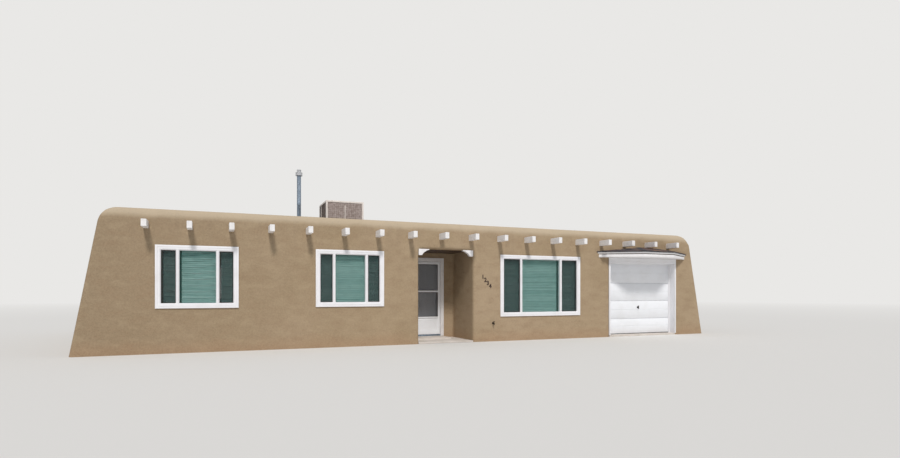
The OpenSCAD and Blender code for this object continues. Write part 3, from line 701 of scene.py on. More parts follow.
def row(shape, material, start, step, count, turn=STILL, shift=STILL, seed=1):
    """A mesh of copies of a shape, made by the row tree."""
    vectors = {"Start": start, "Step": step, "Turn": turn, "Shift": shift}
    values = {label: tuple(map(float, vector)) for label, vector in vectors.items()}
    values |= {"Count": count, "Seed": seed, "Material": material}
    holder = stand("holder", shape)
    modifier = holder.modifiers.new("row", "NODES")
    modifier.node_group = ROW
    for item in ROW.interface.items_tree:
        if item.in_out == "INPUT" and item.name in values:
            modifier[item.identifier] = values[item.name]
    return evaluated(holder)


def joined(meshes):
    """A bmesh of several meshes."""
    bm = bmesh.new()
    for mesh in meshes:
        bm.from_mesh(mesh)
    return bm


def parts_of(node):
    """The lowest and highest corner of each separate solid of a CAD node, by X."""
    bm = merged_copy(node)
    left = set(bm.verts)
    found = []
    while left:
        reached = [left.pop()]
        part = []
        while reached:
            v = reached.pop()
            part.append(v.co.copy())
            near = {edge.other_vert(v) for edge in v.link_edges} & left
            left -= near
            reached += near
        found.append([Vector([pick(p[i] for p in part) for i in range(3)])
                      for pick in (min, max)])
    bm.free()
    return sorted(found, key=lambda pair: tuple(pair[0]))


# %% [markdown]
# ## Roof beams
# Eighteen sawn timbers lie on the walls, pass through the parapet and end in the
# open air, painted white. A real timber is never quite straight, so one beam
# with soft edges is cut into short lengths, copied with a slight turn, and bent
# by a few millimetres. Vector noise starts from the time of day unless its seed
# is set, and a set seed gives the same beams in each run.

# %% Roof beams
BEAM_PIECES = 40
BEAM_EDGE = 5 * MM
BEAM_BEND = 4 * MM
BEAM_CHIP = 1 * MM
BEAM_SEED = 5


def beams():
    boxes = parts_of("roof_beams_west") + parts_of("roof_beams_east")
    low, high = boxes[0]
    size = high - low
    bm = bmesh.new()
    block(bm, -size / 2, size / 2)
    rounded(bm, BEAM_EDGE)
    for i in range(1, BEAM_PIECES):
        cut(bm, (0, size.y * (i / BEAM_PIECES - 0.5), 0), (0, 1, 0))
    pitch = (boxes[-1][0].x - low.x) / (len(boxes) - 1)
    mesh = row(mesh_of(bm), BEAM_PAINT, (low + high) / 2, (pitch, 0, 0), len(boxes),
               turn=(0, 0.012, 0.0005), shift=(3 * MM, 0, 0), seed=BEAM_SEED)
    noise.seed_set(BEAM_SEED)
    for v in mesh.vertices:
        bend = noise.noise_vector(v.co * Vector((1.3, 0.35, 0.6))) * BEAM_BEND
        chip = noise.noise_vector(v.co / 0.05) * BEAM_CHIP
        v.co += Vector((bend.x + chip.x, 0, bend.z + chip.z))
        v.co.y = max(v.co.y, low.y)
    place(mesh, "roof_beams", BEAM_PAINT,
          replaces=("roof_beams_west", "roof_beams_east"))


beams()

# %% [markdown]
# ## Roll roofing
# A flat roof behind a parapet is covered by metre-wide strips of mineral-faced
# felt. Each strip laps over the one before, and a narrow strip is turned up
# against the parapet over a small fillet, so that no water stands in the corner.

# %% Roll roofing
def felt_material():
    look = Look("mineral_roofing_felt", "#8d8983", 0.95)
    look.mix(look.tone(), "#9b968f", over="#7f7b75")
    look.coat(look.patches(0.7, 6.0), 0.42, 0.72, 0.6, "#a79c8a")
    grains = look.patches(7 * MM, 2.0, 0.8)
    look.coat(grains, 0.45, 0.62, 0.5, "#6a6763")
    look.relief(grains, 1.5 * MM, 0.8)
    return look.done()


FELT = felt_material()
STRIP_WIDTH = 1.0
STRIP_LAP = 0.1
FELT_THICK = 6 * MM


def sheet(across, up, thick, put):
    """A thin closed sheet: a grid from -0.5 to 0.5 whose points are each put."""
    bm = bmesh.new()
    bmesh.ops.create_grid(bm, x_segments=across, y_segments=up, size=0.5)
    for v in bm.verts:
        v.co = put(v.co.x, v.co.y)
    raised = bmesh.ops.extrude_face_region(bm, geom=bm.faces[:])
    for v in raised["geom"]:
        if isinstance(v, bmesh.types.BMVert):
            v.co.z += thick
    bmesh.ops.recalc_face_normals(bm, faces=bm.faces[:])
    return mesh_of(bm)


def felt_strips():
    low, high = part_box("roof_deck")
    size, middle = high - low, (low + high) / 2
    count = int((size.y - STRIP_LAP) / (STRIP_WIDTH - STRIP_LAP))
    pitch = (size.y - STRIP_WIDTH) / (count - 1)

    def put(u, v):
        point = Vector((u * size.x, v * STRIP_WIDTH, FELT_THICK * (0.6 - 1.2 * v)))
        point.z += 1.2 * MM * noise.noise(point / 0.4)
        return point

    mesh = row(sheet(80, 6, FELT_THICK, put), FELT,
               (middle.x, low.y + STRIP_WIDTH / 2, high.z), (0, pitch, 0), count,
               turn=(0, 0, 0.0012), seed=3)
    for v in mesh.vertices:
        v.co.x = held(v.co.x, low.x, high.x)
        v.co.y = held(v.co.y, low.y, high.y)
    place(mesh, "felt_strips", FELT)


def felt_upstand():
    """A fillet and an upstand all round, swept as a lying frame."""
    low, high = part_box("roof_deck")
    top = (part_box("parapet_front")[1].z - high.z) / MM
    bm = bmesh.new()
    loops = []
    for inset, rise in ((-8, 0), (-8, top * 0.55), (6, top * 0.58), (9, top * 0.5),
                        (12, 50), (50, 12), (170, 9), (172, 0)):
        inset, z = inset * MM, high.z + rise * MM
        (x0, y0), (x1, y1) = (low.x + inset, low.y + inset), (high.x - inset, high.y - inset)
        loops.append([bm.verts.new((x, y, z))
                      for x, y in ((x0, y0), (x1, y0), (x1, y1), (x0, y1))])
    made = skin(bm, loops + loops[:1], 4)
    bmesh.ops.recalc_face_normals(bm, faces=made)
    place(bm, "felt_upstand", FELT, bevel=2 * MM)


def finish(node, material):
    """Gives a CAD node that keeps its own shape a finished material."""
    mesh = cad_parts[node].data
    mesh.materials.clear()
    mesh.materials.append(material)


felt_strips()
felt_upstand()
finish("roof_deck", FELT)

# %% [markdown]
# ## Window frames
# The windows are vinyl: a flat outer fin covers the edge of the stucco, a groove
# separates it from the frame, and a sloped bead holds each pane. All of these
# are profiles that run round a rectangle with mitred corners, so one sweep
# makes each. Two mullions part a wide fixed pane from two narrow sliders.

# %% Window frames
GLASS_BITE = 10 * MM
FRONT_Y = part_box("front_wall_west")[0].y
BACK_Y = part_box("back_wall")[1].y
BEAD = 20
GROOVE = 5
GROOVE_DEEP = 10
IN_WALL = 14


def inside(low, high, way):
    """Two corners, each moved inwards in X and Z by a way."""
    step = Vector((way, 0.0, way))
    return low + step, high - step


def lights_of(glass):
    """The clear openings behind which the panes of a glass node sit."""
    return [inside(low, high, GLASS_BITE) for low, high in parts_of(glass)]


def joinery(bm, low, high, lights, face, out):
    """A window's frame, mullions and beads on a wall face; out is -1 or +1."""
    front, back = (low.y, high.y) if out < 0 else (high.y, low.y)
    fin, deep = abs(front - face) / MM, -abs(back - face) / MM
    width = (lights[0][0].x - low.x) / MM
    cover, flat = 0.4 * width, width - BEAD
    groove = fin - GROOVE_DEEP
    mitred_frame(bm, low, high, [
        (0, -IN_WALL), (0, fin - 3), (1, fin - 1), (3, fin), (cover - 3, fin),
        (cover - 1, fin - 1), (cover, fin - 3), (cover, groove), (cover + GROOVE, groove),
        (cover + GROOVE, fin - 4), (cover + GROOVE + 2, fin - 2),
        (flat - GROOVE - 2, fin - 2), (flat - GROOVE, fin - 4), (flat - GROOVE, groove),
        (flat, groove), (flat, deep), (cover, deep), (cover, -IN_WALL)], face, out)
    for (_, left), (right, _) in zip(lights, lights[1:]):
        middle = (left.x + right.x) / 2
        half = (right.x - left.x) / 2 / MM - BEAD
        steps = [(half, deep), (half, groove), (half - GROOVE, groove),
                 (half - GROOVE, fin - 4), (half - GROOVE - 2, fin - 2)]
        outline = steps + [(-x, y) for x, y in reversed(steps)]
        extruded(bm, [(x, out * y) for x, y in outline], 2, low.z + flat * MM,
                 high.z - flat * MM, (middle, face))
    for light in lights:
        mitred_frame(bm, *light, [
            (0, deep), (0, fin - 8), (2, fin - 6), (5, fin - 6), (BEAD - 3, fin - 22),
            (BEAD, fin - 25), (BEAD, deep)], face, out, margin=BEAD)


def window_frames():
    front = lights_of("front_glass")
    for i, node in enumerate(("window_frame_west", "window_frame_centre",
                              "window_frame_east")):
        bm = bmesh.new()
        joinery(bm, *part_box(node), front[3 * i : 3 * i + 3], FRONT_Y, -1)
        place(bm, node + "_joinery", VINYL, replaces=(node,))
    back = lights_of("back_glass")
    bm = bmesh.new()
    for i, (low, high) in enumerate(parts_of("back_window_frames")):
        joinery(bm, low, high, back[3 * i : 3 * i + 3], BACK_Y, 1)
    place(bm, "back_window_joinery", VINYL, replaces=("back_window_frames",))


window_frames()

# %% [markdown]
# ## Glass
# Window glass with a green-blue solar tint. It is thin, so it doesn't bend the
# view, and mixing with transparency by a plain alpha is enough. The storm door's
# panes are a neutral grey.

# %% Glass
GLASS_ROUGHNESS = 0.04


def glass_material(name, tint, alpha):
    look = Look(name, tint, GLASS_ROUGHNESS, Alpha=alpha, IOR=1.52)
    film = look.patches(0.25)
    look.sheen(film, GLASS_ROUGHNESS, GLASS_ROUGHNESS + 0.08, 0.4, 0.8)
    return look.material


TINTED_GLASS = glass_material("green_tinted_window_glass", "#2d665f", 0.22)
# The storm door's glass is tinted dark grey: painted shade for the porch.
DOOR_GLASS_PAINTED_SHADE = glass_material("door_glass_painted_shade", "#363c46", 0.30)
finish("front_glass", TINTED_GLASS)
finish("back_glass", TINTED_GLASS)
finish("outer_door_panes", DOOR_GLASS_PAINTED_SHADE)

# %% [markdown]
# ## Insect screens
# The sliders are covered by woven screens in dark frames, and that is why they
# look nearly black beside the fixed panes. A real screen has a wire every
# 1.4 mm, which would need hundreds of thousands of them, so these are set out
# every 5 mm and thicker, with the same share of open air.

# %% Insect screens
SCREEN_PITCH = 5 * MM
WIRE = 1.5 * MM
SCREEN_FRAME = 17
SCREEN_LAP = 3


def wire_material(name, clean, dusty):
    look = Look(name, clean, 0.55, Metallic=0.3)
    dust = look.patches(0.2)
    look.coat(dust, 0.4, 0.75, 0.5, dusty)
    look.sheen(dust, 0.5, 0.7)
    return look.done()


SCREEN_WIRE = wire_material("charcoal_screen_wire", "#252b2e", "#444a4a")
DOOR_WIRE = wire_material("bright_aluminium_wire", "#8b9098", "#9c9d9e")


def wire(length, axis, thick, segments=3):
    """A thin straight wire along X, Y or Z (axis 0, 1 or 2)."""
    bm = bmesh.new()
    bmesh.ops.create_cone(bm, cap_ends=True, segments=segments, radius1=thick / 2,
                          radius2=thick / 2, depth=length)
    if axis < 2:
        turn = Matrix.Rotation(math.pi / 2, 3, "YX"[axis])
        bmesh.ops.rotate(bm, verts=bm.verts, matrix=turn)
    return mesh_of(bm)


def screen_cloth(low, high, y, material=SCREEN_WIRE, thick=WIRE):
    """The wires of one screen, between two corners, at a depth."""
    size, middle = high - low, (low + high) / 2
    first = SCREEN_PITCH / 2
    uprights = row(wire(size.z, 2, thick), material, (low.x + first, y, middle.z),
                   (SCREEN_PITCH, 0, 0), int(size.x / SCREEN_PITCH))
    level = row(wire(size.x, 0, thick), material, (middle.x, y + thick / 2, low.z + first),
                (0, 0, SCREEN_PITCH), int(size.z / SCREEN_PITCH))
    return [uprights, level]


def slider_screens(glass, face, out, name):
    """Screens in the two outer lights of each window on a wall."""
    frames = bmesh.new()
    cloth = []
    for i, light in enumerate(lights_of(glass)):
        if i % 3 != 1:
            mitred_frame(frames, *light, [
                (0, -10), (SCREEN_FRAME - 2, -10), (SCREEN_FRAME, -15),
                (SCREEN_FRAME, -20), (0, -20)], face, out, margin=SCREEN_LAP)
            cloth += screen_cloth(*inside(*light, SCREEN_FRAME / 2 * MM),
                                  face - out * 15 * MM)
    place(frames, name + "_frames", DARK_METAL)
    place(joined(cloth), name + "_cloth", SCREEN_WIRE)


slider_screens("front_glass", FRONT_Y, -1, "front_screens")
slider_screens("back_glass", BACK_Y, 1, "back_screens")

# %% [markdown]
# ## Blinds
# Slats 50 mm wide hang closed behind the panes, one blind to each light, on tapes
# that hold them 44 mm apart. A slat is a shallow arch in section, which keeps it
# stiff. The cords have stretched, so groups of slats lie a little more open than
# the next, and seen from outside they make soft bands. In the west window these
# climb to the right near the top, where the blind hangs lower at one end.

# %% Blinds
def slat_material():
    look = Look("painted_blind_slats", "#a9d1cb", 0.5)
    look.mix(look.tone(), "#b4dbd5", over="#a0cac4")
    dust = look.patches(0.12)
    look.coat(dust, 0.45, 0.75, 0.3, "#87aaa0")
    look.sheen(dust, 0.42, 0.6)
    look.relief(dust, 0.5 * MM, 0.3)
    return look.done()


SLAT_PAINT = slat_material()
SLAT = 50 * MM
SLAT_PITCH = 44 * MM
SLAT_TILT = math.radians(66)
SLAT_CROWN = 4 * MM
SLAT_THICK = 1.5 * MM
RAIL = 24 * MM
TAPES = (0.14, 0.86)
BAND = 135 * MM
BAND_SWING = [math.radians(degrees) for degrees in (26, 13, 11)]
BAND_CLIMB = (140 * MM, 40 * MM, 5 * MM)
WEST_SIDE_GAP = 60 * MM
EAST_SIDE_GAP = 55 * MM


def slats(low, high, swing_size, climb, seed):
    """The slats of one blind, tilted nearly shut, their outer edges down."""
    size, middle = high - low, (low + high) / 2
    shape = sheet(6, 4, SLAT_THICK, lambda u, v: Vector(
        (u * size.x, v * SLAT, SLAT_CROWN * (1 - 4 * v * v))))
    shape.transform(Matrix.Rotation(SLAT_TILT, 4, "X"))
    per_slat = len(shape.vertices)
    start = Vector((middle.x, middle.y, low.z + RAIL + SLAT_PITCH / 2))
    mesh = row(shape, SLAT_PAINT, start, (0, 0, SLAT_PITCH),
               int((size.z - 3 * RAIL) / SLAT_PITCH), turn=(0.03, 0.003, 0), seed=seed)
    for k, v in enumerate(mesh.vertices):
        axis_z = start.z + (k // per_slat) * SLAT_PITCH
        lean = climb * (v.co.x - middle.x) / size.x * (axis_z - low.z) / size.z
        swing = -swing_size * math.sin(2 * math.pi * (axis_z - lean) / BAND + seed)
        swing *= 0.85 + 0.4 * noise.noise(Vector((0, seed, axis_z / 0.3)))
        y, z = v.co.y - middle.y, v.co.z - axis_z
        v.co.y = middle.y + y * math.cos(swing) - z * math.sin(swing)
        v.co.z = axis_z + y * math.sin(swing) + z * math.cos(swing)
        v.co.x = held(v.co.x, low.x, high.x)
    return mesh


def rails_and_tapes(low, high):
    """The foot rail and the double head rail of one blind, and two tapes."""
    y, half = (low.y + high.y) / 2, 13 * MM
    bm = bmesh.new()
    for z, tall in ((low.z, RAIL), (high.z - 2 * RAIL, 2 * RAIL)):
        block(bm, (low.x, y - half, z), (high.x, y + half, z + tall))
    rounded(bm, 3 * MM)
    y -= 12 * MM
    for share in TAPES:
        x = low.x + (high.x - low.x) * share
        block(bm, (x - 3 * MM, y - 0.5 * MM, low.z), (x + 3 * MM, y + 0.5 * MM, high.z))
    return mesh_of(bm)


def blinds():
    made = []
    for i, (low, high) in enumerate(parts_of("window_blinds")):
        window, light = divmod(i, 3)
        if window == 0:
            low.x += WEST_SIDE_GAP
        if i == 7:
            high.x -= EAST_SIDE_GAP
        climb = BAND_CLIMB[window] if light == 1 else 0.0
        made += [slats(low, high, BAND_SWING[window], climb, 40 + i),
                 rails_and_tapes(low, high)]
    place(joined(made), "window_blind_slats", SLAT_PAINT,
          replaces=("window_blinds",))


blinds()

# %% [markdown]
# ## Door frame
# The entry door stands in a flat casing on the wall of the porch, with jambs
# through the wall and a stop between the two doors. One mitred profile with an
# open foot makes all three. A ribbed metal threshold closes the foot.

# %% Door frame and threshold
CASING_W = 102
CASING_OUT = 22 * MM
JAMB = 26
STOP = 18
RIBS = 7
RIB_PITCH = 22
DOOR_FOOT = 84 * MM
DOOR_GAP = 6 * MM
PORCH_WALL_Y, PORCH_BACK_Y = (corner.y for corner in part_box("recess_lintel"))
OUTER_LOW, OUTER_HIGH = Vector((-0.847, -2.898, 0.131)), Vector((0.067, -2.866, 2.145))
INNER_LOW, INNER_HIGH = Vector((-0.847, -2.778, 0.131)), Vector((0.067, -2.734, 2.145))


def door_frame():
    low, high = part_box("entry_casing")
    front = PORCH_WALL_Y - CASING_OUT
    wall = CASING_OUT / MM + IN_WALL
    stop_front, stop_back, back = ((y - front) / MM for y in (
        OUTER_HIGH.y + DOOR_GAP, INNER_LOW.y - DOOR_GAP, PORCH_BACK_Y))
    bm = bmesh.new()
    mitred_frame(bm, Vector((low.x, 0, DOOR_FOOT)), high, [
        (0, wall), (0, 3), (3, 0), (CASING_W - 16, 0), (CASING_W - 14, 3),
        (CASING_W - 12, 3), (CASING_W - 10, 1), (CASING_W - 2, 1), (CASING_W, 3),
        (CASING_W, stop_front), (CASING_W + STOP, stop_front),
        (CASING_W + STOP, stop_back), (CASING_W, stop_back), (CASING_W, back),
        (CASING_W - JAMB, back), (CASING_W - JAMB, wall)], front, open_foot=True)
    place(bm, "entry_frame", TRIM_Z, replaces=("entry_casing",),
          bevel=1.2 * MM)
    bm = bmesh.new()
    floor = (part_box("floor_slab")[1].z - DOOR_FOOT) / MM
    outline = [(0, 0), (0, floor - 4), (6, floor)]
    for i in range(RIBS):
        y = 12 + RIB_PITCH * i
        outline += [(y, floor), (y + 2, floor + 3.5), (y + 9, floor + 3.5), (y + 11, floor)]
    outline += [(back, floor), (back, 0)]
    extruded(bm, outline, 0, OUTER_LOW.x - DOOR_GAP, high.x - CASING_W * MM,
             (front, DOOR_FOOT))
    place(bm, "door_threshold", SKY_TINTED_ZINC)


door_frame()

# %% [markdown]
# ## Storm door
# The outer door is a light metal one: a soft-edged ring, a thin middle rail and a
# pressed kick panel. Dark gaskets hold its panes, whose glass is tinted dark grey
# as painted shade, and a thin bright screen lies behind the upper one, so the
# inner door shows through both. A pull handle sits on the west stile, because the
# hinges are on the east side.

# %% Storm door
STILE = 72
PANE_LAP = 8 * MM
KICK_EDGE = 38 * MM
DOOR_WIRE_THICK = 0.7 * MM
OUTER = "outer_door"
INNER = "inner_door"


def storm_door():
    low, high = OUTER_LOW, OUTER_HIGH
    lights = [inside(*pane, PANE_LAP) for pane in parts_of("outer_door_panes")]
    lights.sort(key=lambda pair: pair[0].z)
    (lower_low, lower_high), (upper_low, upper_high) = lights
    front, back = low.y, (high.y - low.y) / MM
    bm = bmesh.new()
    mitred_frame(bm, low, high, [
        (0, 4), (4, 0), (STILE - 12, 0), (STILE - 9, 4), (STILE - 2, 5), (STILE, 8),
        (STILE, back - 8), (STILE - 12, back - 3), (STILE - 16, back), (4, back),
        (0, back - 4)], front)
    in_x0, in_x1 = low.x + (STILE - 2) * MM, high.x - (STILE - 2) * MM
    for z0, z1, proud in ((lower_high.z, upper_low.z, 0),
                          (lower_low.z - 40 * MM, lower_low.z, 5),
                          (low.z + (STILE - 2) * MM, low.z + (STILE + 22) * MM, 0)):
        tall = (z1 - z0) / MM
        extruded(bm, [(3 - proud, 0), (-proud, 4), (-proud, tall - 4), (3 - proud, tall),
                      (back - 3, tall), (back - 3, 0)], 0, in_x0, in_x1, (front, z0))
    kick_z0, kick_z1 = low.z + STILE * MM, lower_low.z - 36 * MM
    block(bm, (in_x0, front + 10 * MM, kick_z0), (in_x1, high.y - 6 * MM, kick_z1))
    mitred_frame(bm, Vector((in_x0, 0, kick_z0 + 3 * MM)), Vector((in_x1, 0, kick_z1)),
                 [(0, 11), (8, 5), (16, 5), (26, 11)], front, margin=-KICK_EDGE / MM)
    place(bm, "storm_door", DOOR_STEEL, OUTER, ("outer_door",), bevel=MM,
          segments=1)
    frames = bmesh.new()
    for light in lights:
        mitred_frame(frames, *light, [(0, 5), (15, 5), (18, 9), (18, 13), (0, 13)],
                     front, margin=4)
    cloth = screen_cloth(*inside(upper_low, upper_high, PANE_LAP), front + 9 * MM,
                         DOOR_WIRE, DOOR_WIRE_THICK)
    place(frames, "storm_screen_frames", DARK_METAL, OUTER)
    place(joined(cloth), "storm_screen_cloth", DOOR_WIRE, OUTER)


def around(segments):
    """The angles of the corners of a round section."""
    return [2 * math.pi * i / segments for i in range(segments)]


def lathe(bm, profile, centre, axis=2, segments=48):
    """Turns a profile of (radius, height) round Z or Y and closes its ends.

    Both are in millimetres, and about Y a height points to the front.
    """
    rings = []
    for radius, height in profile:
        points = [(radius * math.cos(a), radius * math.sin(a), height)
                  for a in (around(segments) if radius else [0.0])]
        rings.append([bm.verts.new(Vector(centre) + MM * Vector(
            (x, y, z) if axis == 2 else (x, -z, y))) for x, y, z in points])
    made = skin(bm, rings, segments)
    made += [bm.faces.new(ring) for ring in (rings[0][::-1], rings[-1]) if len(ring) > 2]
    bmesh.ops.recalc_face_normals(bm, faces=made)


def tube(bm, points, radius, segments):
    """A round bar along a line of points, with closed ends."""
    rings, side = [], None
    for i, point in enumerate(points):
        before, after = points[max(i - 1, 0)], points[min(i + 1, len(points) - 1)]
        along = (after - before).normalized()
        side = along.orthogonal() if side is None else side - along * side.dot(along)
        side.normalize()
        up = along.cross(side)
        rings.append([bm.verts.new(point + radius * (math.cos(a) * side + math.sin(a) * up))
                      for a in around(segments)])
    made = [bm.faces.new(rings[0][::-1]), bm.faces.new(rings[-1])]
    bmesh.ops.recalc_face_normals(bm, faces=made + skin(bm, rings, segments))


def storm_handle():
    low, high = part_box("outer_door_handle")
    face = OUTER_LOW.y
    x, z = low.x + 18 * MM, high.z - 50 * MM
    bm = bmesh.new()
    block(bm, (x - 17 * MM, face - 6 * MM, low.z), (x + 17 * MM, face + MM, high.z))
    rounded(bm, 4 * MM, 3)
    lathe(bm, [(0, 0), (9, 0), (9, 4), (7, 6), (7, 30), (0, 30)],
          (x, face - 4 * MM, z), axis=1, segments=24)
    lever = [(-4, 7, 0), (20, 6, 1), (50, 7, 0), (76, 10, -3), (84, 18, -4)]
    tube(bm, [Vector((x, low.y, z)) + MM * Vector(point) for point in lever],
         6.5 * MM, 14)
    lathe(bm, [(0, 0), (6, 0), (6, 2), (0, 2.5)],
          (x, face - 5 * MM, low.z + 30 * MM), axis=1, segments=20)
    place(bm, "storm_door_pull", DARK_METAL, OUTER, ("outer_door_handle",))


storm_door()
storm_handle()

# %% [markdown]
# ## Inner door, knob and hinges
# Behind the storm door stands a panelled wooden door. Each sunk panel gets the
# sloped moulding that a router leaves round it. The hinges are made as they
# work: knuckles on the frame and knuckles on the leaf take turns on one pin, so
# each half moves with its own body.

# %% Inner door
PANEL_COLS = 2
PANEL_ROWS = ((0.18, 0.56), (0.83, 0.56), (1.48, 0.38))
PANEL_STILE = 115 * MM
PANEL_MIDDLE = 100 * MM
PANEL_SUNK = 8 * MM
FIELD_INSET = 69 * MM


def inner_door():
    low, high = INNER_LOW, INNER_HIGH
    bm = bmesh.new()
    core = Vector((4 * MM, PANEL_SUNK, 4 * MM))
    block(bm, low + core, high - core)
    panel_w = (high.x - low.x - 2 * PANEL_STILE - PANEL_MIDDLE) / PANEL_COLS
    panels = []
    for col in range(PANEL_COLS):
        x = low.x + PANEL_STILE + col * (panel_w + PANEL_MIDDLE)
        panels += [(x, low.z + z, x + panel_w, low.z + z + tall) for z, tall in PANEL_ROWS]
    xs = sorted({low.x, high.x} | {x for panel in panels for x in panel[::2]})
    zs = sorted({low.z, high.z} | {z for panel in panels for z in panel[1::2]})
    for x0, x1 in zip(xs, xs[1:]):
        for z0, z1 in zip(zs, zs[1:]):
            if not any(p[0] <= x0 < p[2] and p[1] <= z0 < p[3] for p in panels):
                block(bm, (x0, low.y, z0), (x1, high.y, z1))
    bmesh.ops.remove_doubles(bm, verts=bm.verts, dist=0.01 * MM)
    hidden = [f for f in bm.faces if abs(f.normal.y) < 0.5
              and all(len(e.link_faces) > 2 for e in f.edges)]
    bmesh.ops.delete(bm, geom=hidden, context="FACES_ONLY")
    for face, inwards in ((low.y, 1), (high.y, -1)):
        for x0, z0, x1, z1 in panels:
            corners = Vector((x0, face, z0)), Vector((x1, face, z1))
            mitred_frame(bm, *corners, [(-1, 1), (12, 6), (18, 9), (-1, 9)], face, inwards)
            mitred_frame(bm, *corners, [(0, 8.5), (20, 3), (40, 3), (40, 9)], face,
                         inwards, margin=-30)
            left, right = inside(*corners, FIELD_INSET)
            left.y, right.y = sorted((face + inwards * 2.8 * MM, face + inwards * 9 * MM))
            block(bm, left, right)
    place(bm, "inner_door_leaf", DOOR_PAINT, INNER, ("inner_door",))


def inner_knob():
    low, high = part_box("inner_door_knob")
    x, z = (low.x + high.x) / 2, (low.z + high.z) / 2
    bm = bmesh.new()
    plate = [(0, 0), (31, 0), (31, 2), (27, 6), (24, 8)]
    lathe(bm, plate + [(0, 8)], (x, INNER_LOW.y, z), axis=1, segments=40)
    knob = plate + [(12, 9), (10, 14), (10, 30), (14, 36), (24, 44), (27, 54), (25, 64),
                    (17, 73), (0, 77)]
    lathe(bm, [(r, -h) for r, h in knob], (x, INNER_HIGH.y, z), axis=1, segments=40)
    place(bm, "inner_door_brass_knob", BRASS, INNER, ("inner_door_knob",))


# %% Hinges
KNUCKLE_R = 5
KNUCKLE_H = 38 * MM
KNUCKLE_GAP = 0.6 * MM
PLATE_W = 34 * MM
HINGE_FROM_END = 0.18


def hinges(name, body, pin_y, face, low_z, high_z):
    """Three hinges on one pin line: the lower knuckle stays, the upper one swings."""
    pin_x = OUTER_HIGH.x + DOOR_GAP
    side = 1 if pin_y > face else -1
    r, h = KNUCKLE_R, (KNUCKLE_H - KNUCKLE_GAP) / MM
    profile = [(0, 0), (r - 1, 0), (r, 1), (r, h / 2 - 0.5), (r - 0.7, h / 2),
               (r, h / 2 + 0.5), (r, h - 1), (r - 1, h), (0, h)]
    still, swinging = bmesh.new(), bmesh.new()
    for z in (low_z + HINGE_FROM_END, (low_z + high_z) / 2 - KNUCKLE_H,
              high_z - HINGE_FROM_END - 2 * KNUCKLE_H):
        lathe(still, profile, (pin_x, pin_y, z), segments=20)
        lathe(swinging, profile, (pin_x, pin_y, z + KNUCKLE_H), segments=20)
        near, far = sorted((face, face + side * 3 * MM))
        block(swinging, (pin_x - PLATE_W, near, z + KNUCKLE_H),
              (pin_x, far, z + 2 * KNUCKLE_H - KNUCKLE_GAP))
        for up in (1.25, 1.75):
            lathe(swinging, [(0, 0), (3.5, 0), (2.5, 1.2), (0, 1.5)],
                  (pin_x - PLATE_W * 0.7, face + side * 3 * MM, z + KNUCKLE_H * up),
                  axis=1, segments=12)
    place(still, name + "_frame_knuckles", DOOR_STEEL)
    place(swinging, name + "_leaf_knuckles", DOOR_STEEL, body)


inner_door()
inner_knob()
hinges("outer_hinges", OUTER, OUTER_LOW.y - DOOR_GAP, OUTER_LOW.y, OUTER_LOW.z,
       OUTER_HIGH.z)
hinges("inner_hinges", INNER, INNER_HIGH.y + DOOR_GAP, INNER_HIGH.y, INNER_LOW.z,
       INNER_HIGH.z)

# %% [markdown]
# ## Porch
# A carved corbel sits in each upper corner of the entry. The ceiling is of narrow
# stained boards with a chamfer along each edge, set out by the row tree; their
# brown stain is darkened further, painted shade for the deep porch. The slab and
# the step are cast concrete with worn edges.

# %% Porch ceiling, corbels and slab
BOARD = 92 * MM


def stained_boards_painted_shade():
    # Brown stain, darkened past the boards' own colour: partly painted shade.
    look = Look("stained_pine_painted_shade", "#4d3a2c", 0.6)
    look.mix(look.tone(), "#584331", over="#463427")
    grain = look.patches(14 * MM, 5.0, 0.6, (0.05, 1.0, 1.0))
    look.coat(grain, 0.5, 0.7, 0.6, "#35271e")
    look.sheen(grain, 0.5, 0.72)
    look.relief(grain, MM, 0.6)
    return look.done()


STAINED_WOOD_PAINTED_SHADE = stained_boards_painted_shade()


def porch_ceiling():
    low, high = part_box("porch_ceiling")
    size, middle = high - low, (low + high) / 2
    count = round(size.y / BOARD)
    pitch = size.y / count
    board = Vector((size.x, pitch - MM, size.z))
    bm = bmesh.new()
    block(bm, -board / 2, board / 2)
    rounded(bm, 3 * MM, 1)
    mesh = row(mesh_of(bm), STAINED_WOOD_PAINTED_SHADE, (middle.x, low.y + pitch / 2, middle.z),
               (0, pitch, 0), count, turn=(0.003, 0.0006, 0), seed=9)
    place(mesh, "porch_ceiling_boards", STAINED_WOOD_PAINTED_SHADE,
          replaces=("porch_ceiling",))


porch_ceiling()
softened("entry_corbels", TRIM_X, bevel=6 * MM, segments=3)
softened("porch_slab", CONCRETE, bevel=9 * MM, segments=3)
finish("floor_slab", CONCRETE)
finish("garage_slab", CONCRETE)

# %% [markdown]
# ## Garage
# The door has four steel sections that meet in a rolled joint, and each has one
# shallow groove across its middle. The bottom section is 18 inches tall, the next
# two 21, and the top one fills what is left. Each is one profile drawn out to the
# door's width. A rubber seal lies along the bottom, and the frame has a thin
# trim on the wall, a deep jamb and a stop.

# %% Garage door and frame
GARAGE_JAMB = 26
GARAGE_TRIM = 46
GARAGE_STOP = 32
SECTION_TOPS = (0.457, 0.990, 1.523)


def rubber_material():
    look = Look("black_rubber_seal", "#2a2a2b", 0.8)
    dust = look.patches(0.05)
    look.coat(dust, 0.4, 0.75, 0.5, "#6a655e")
    look.relief(dust, 0.5 * MM, 0.4)
    return look.done()


RUBBER = rubber_material()


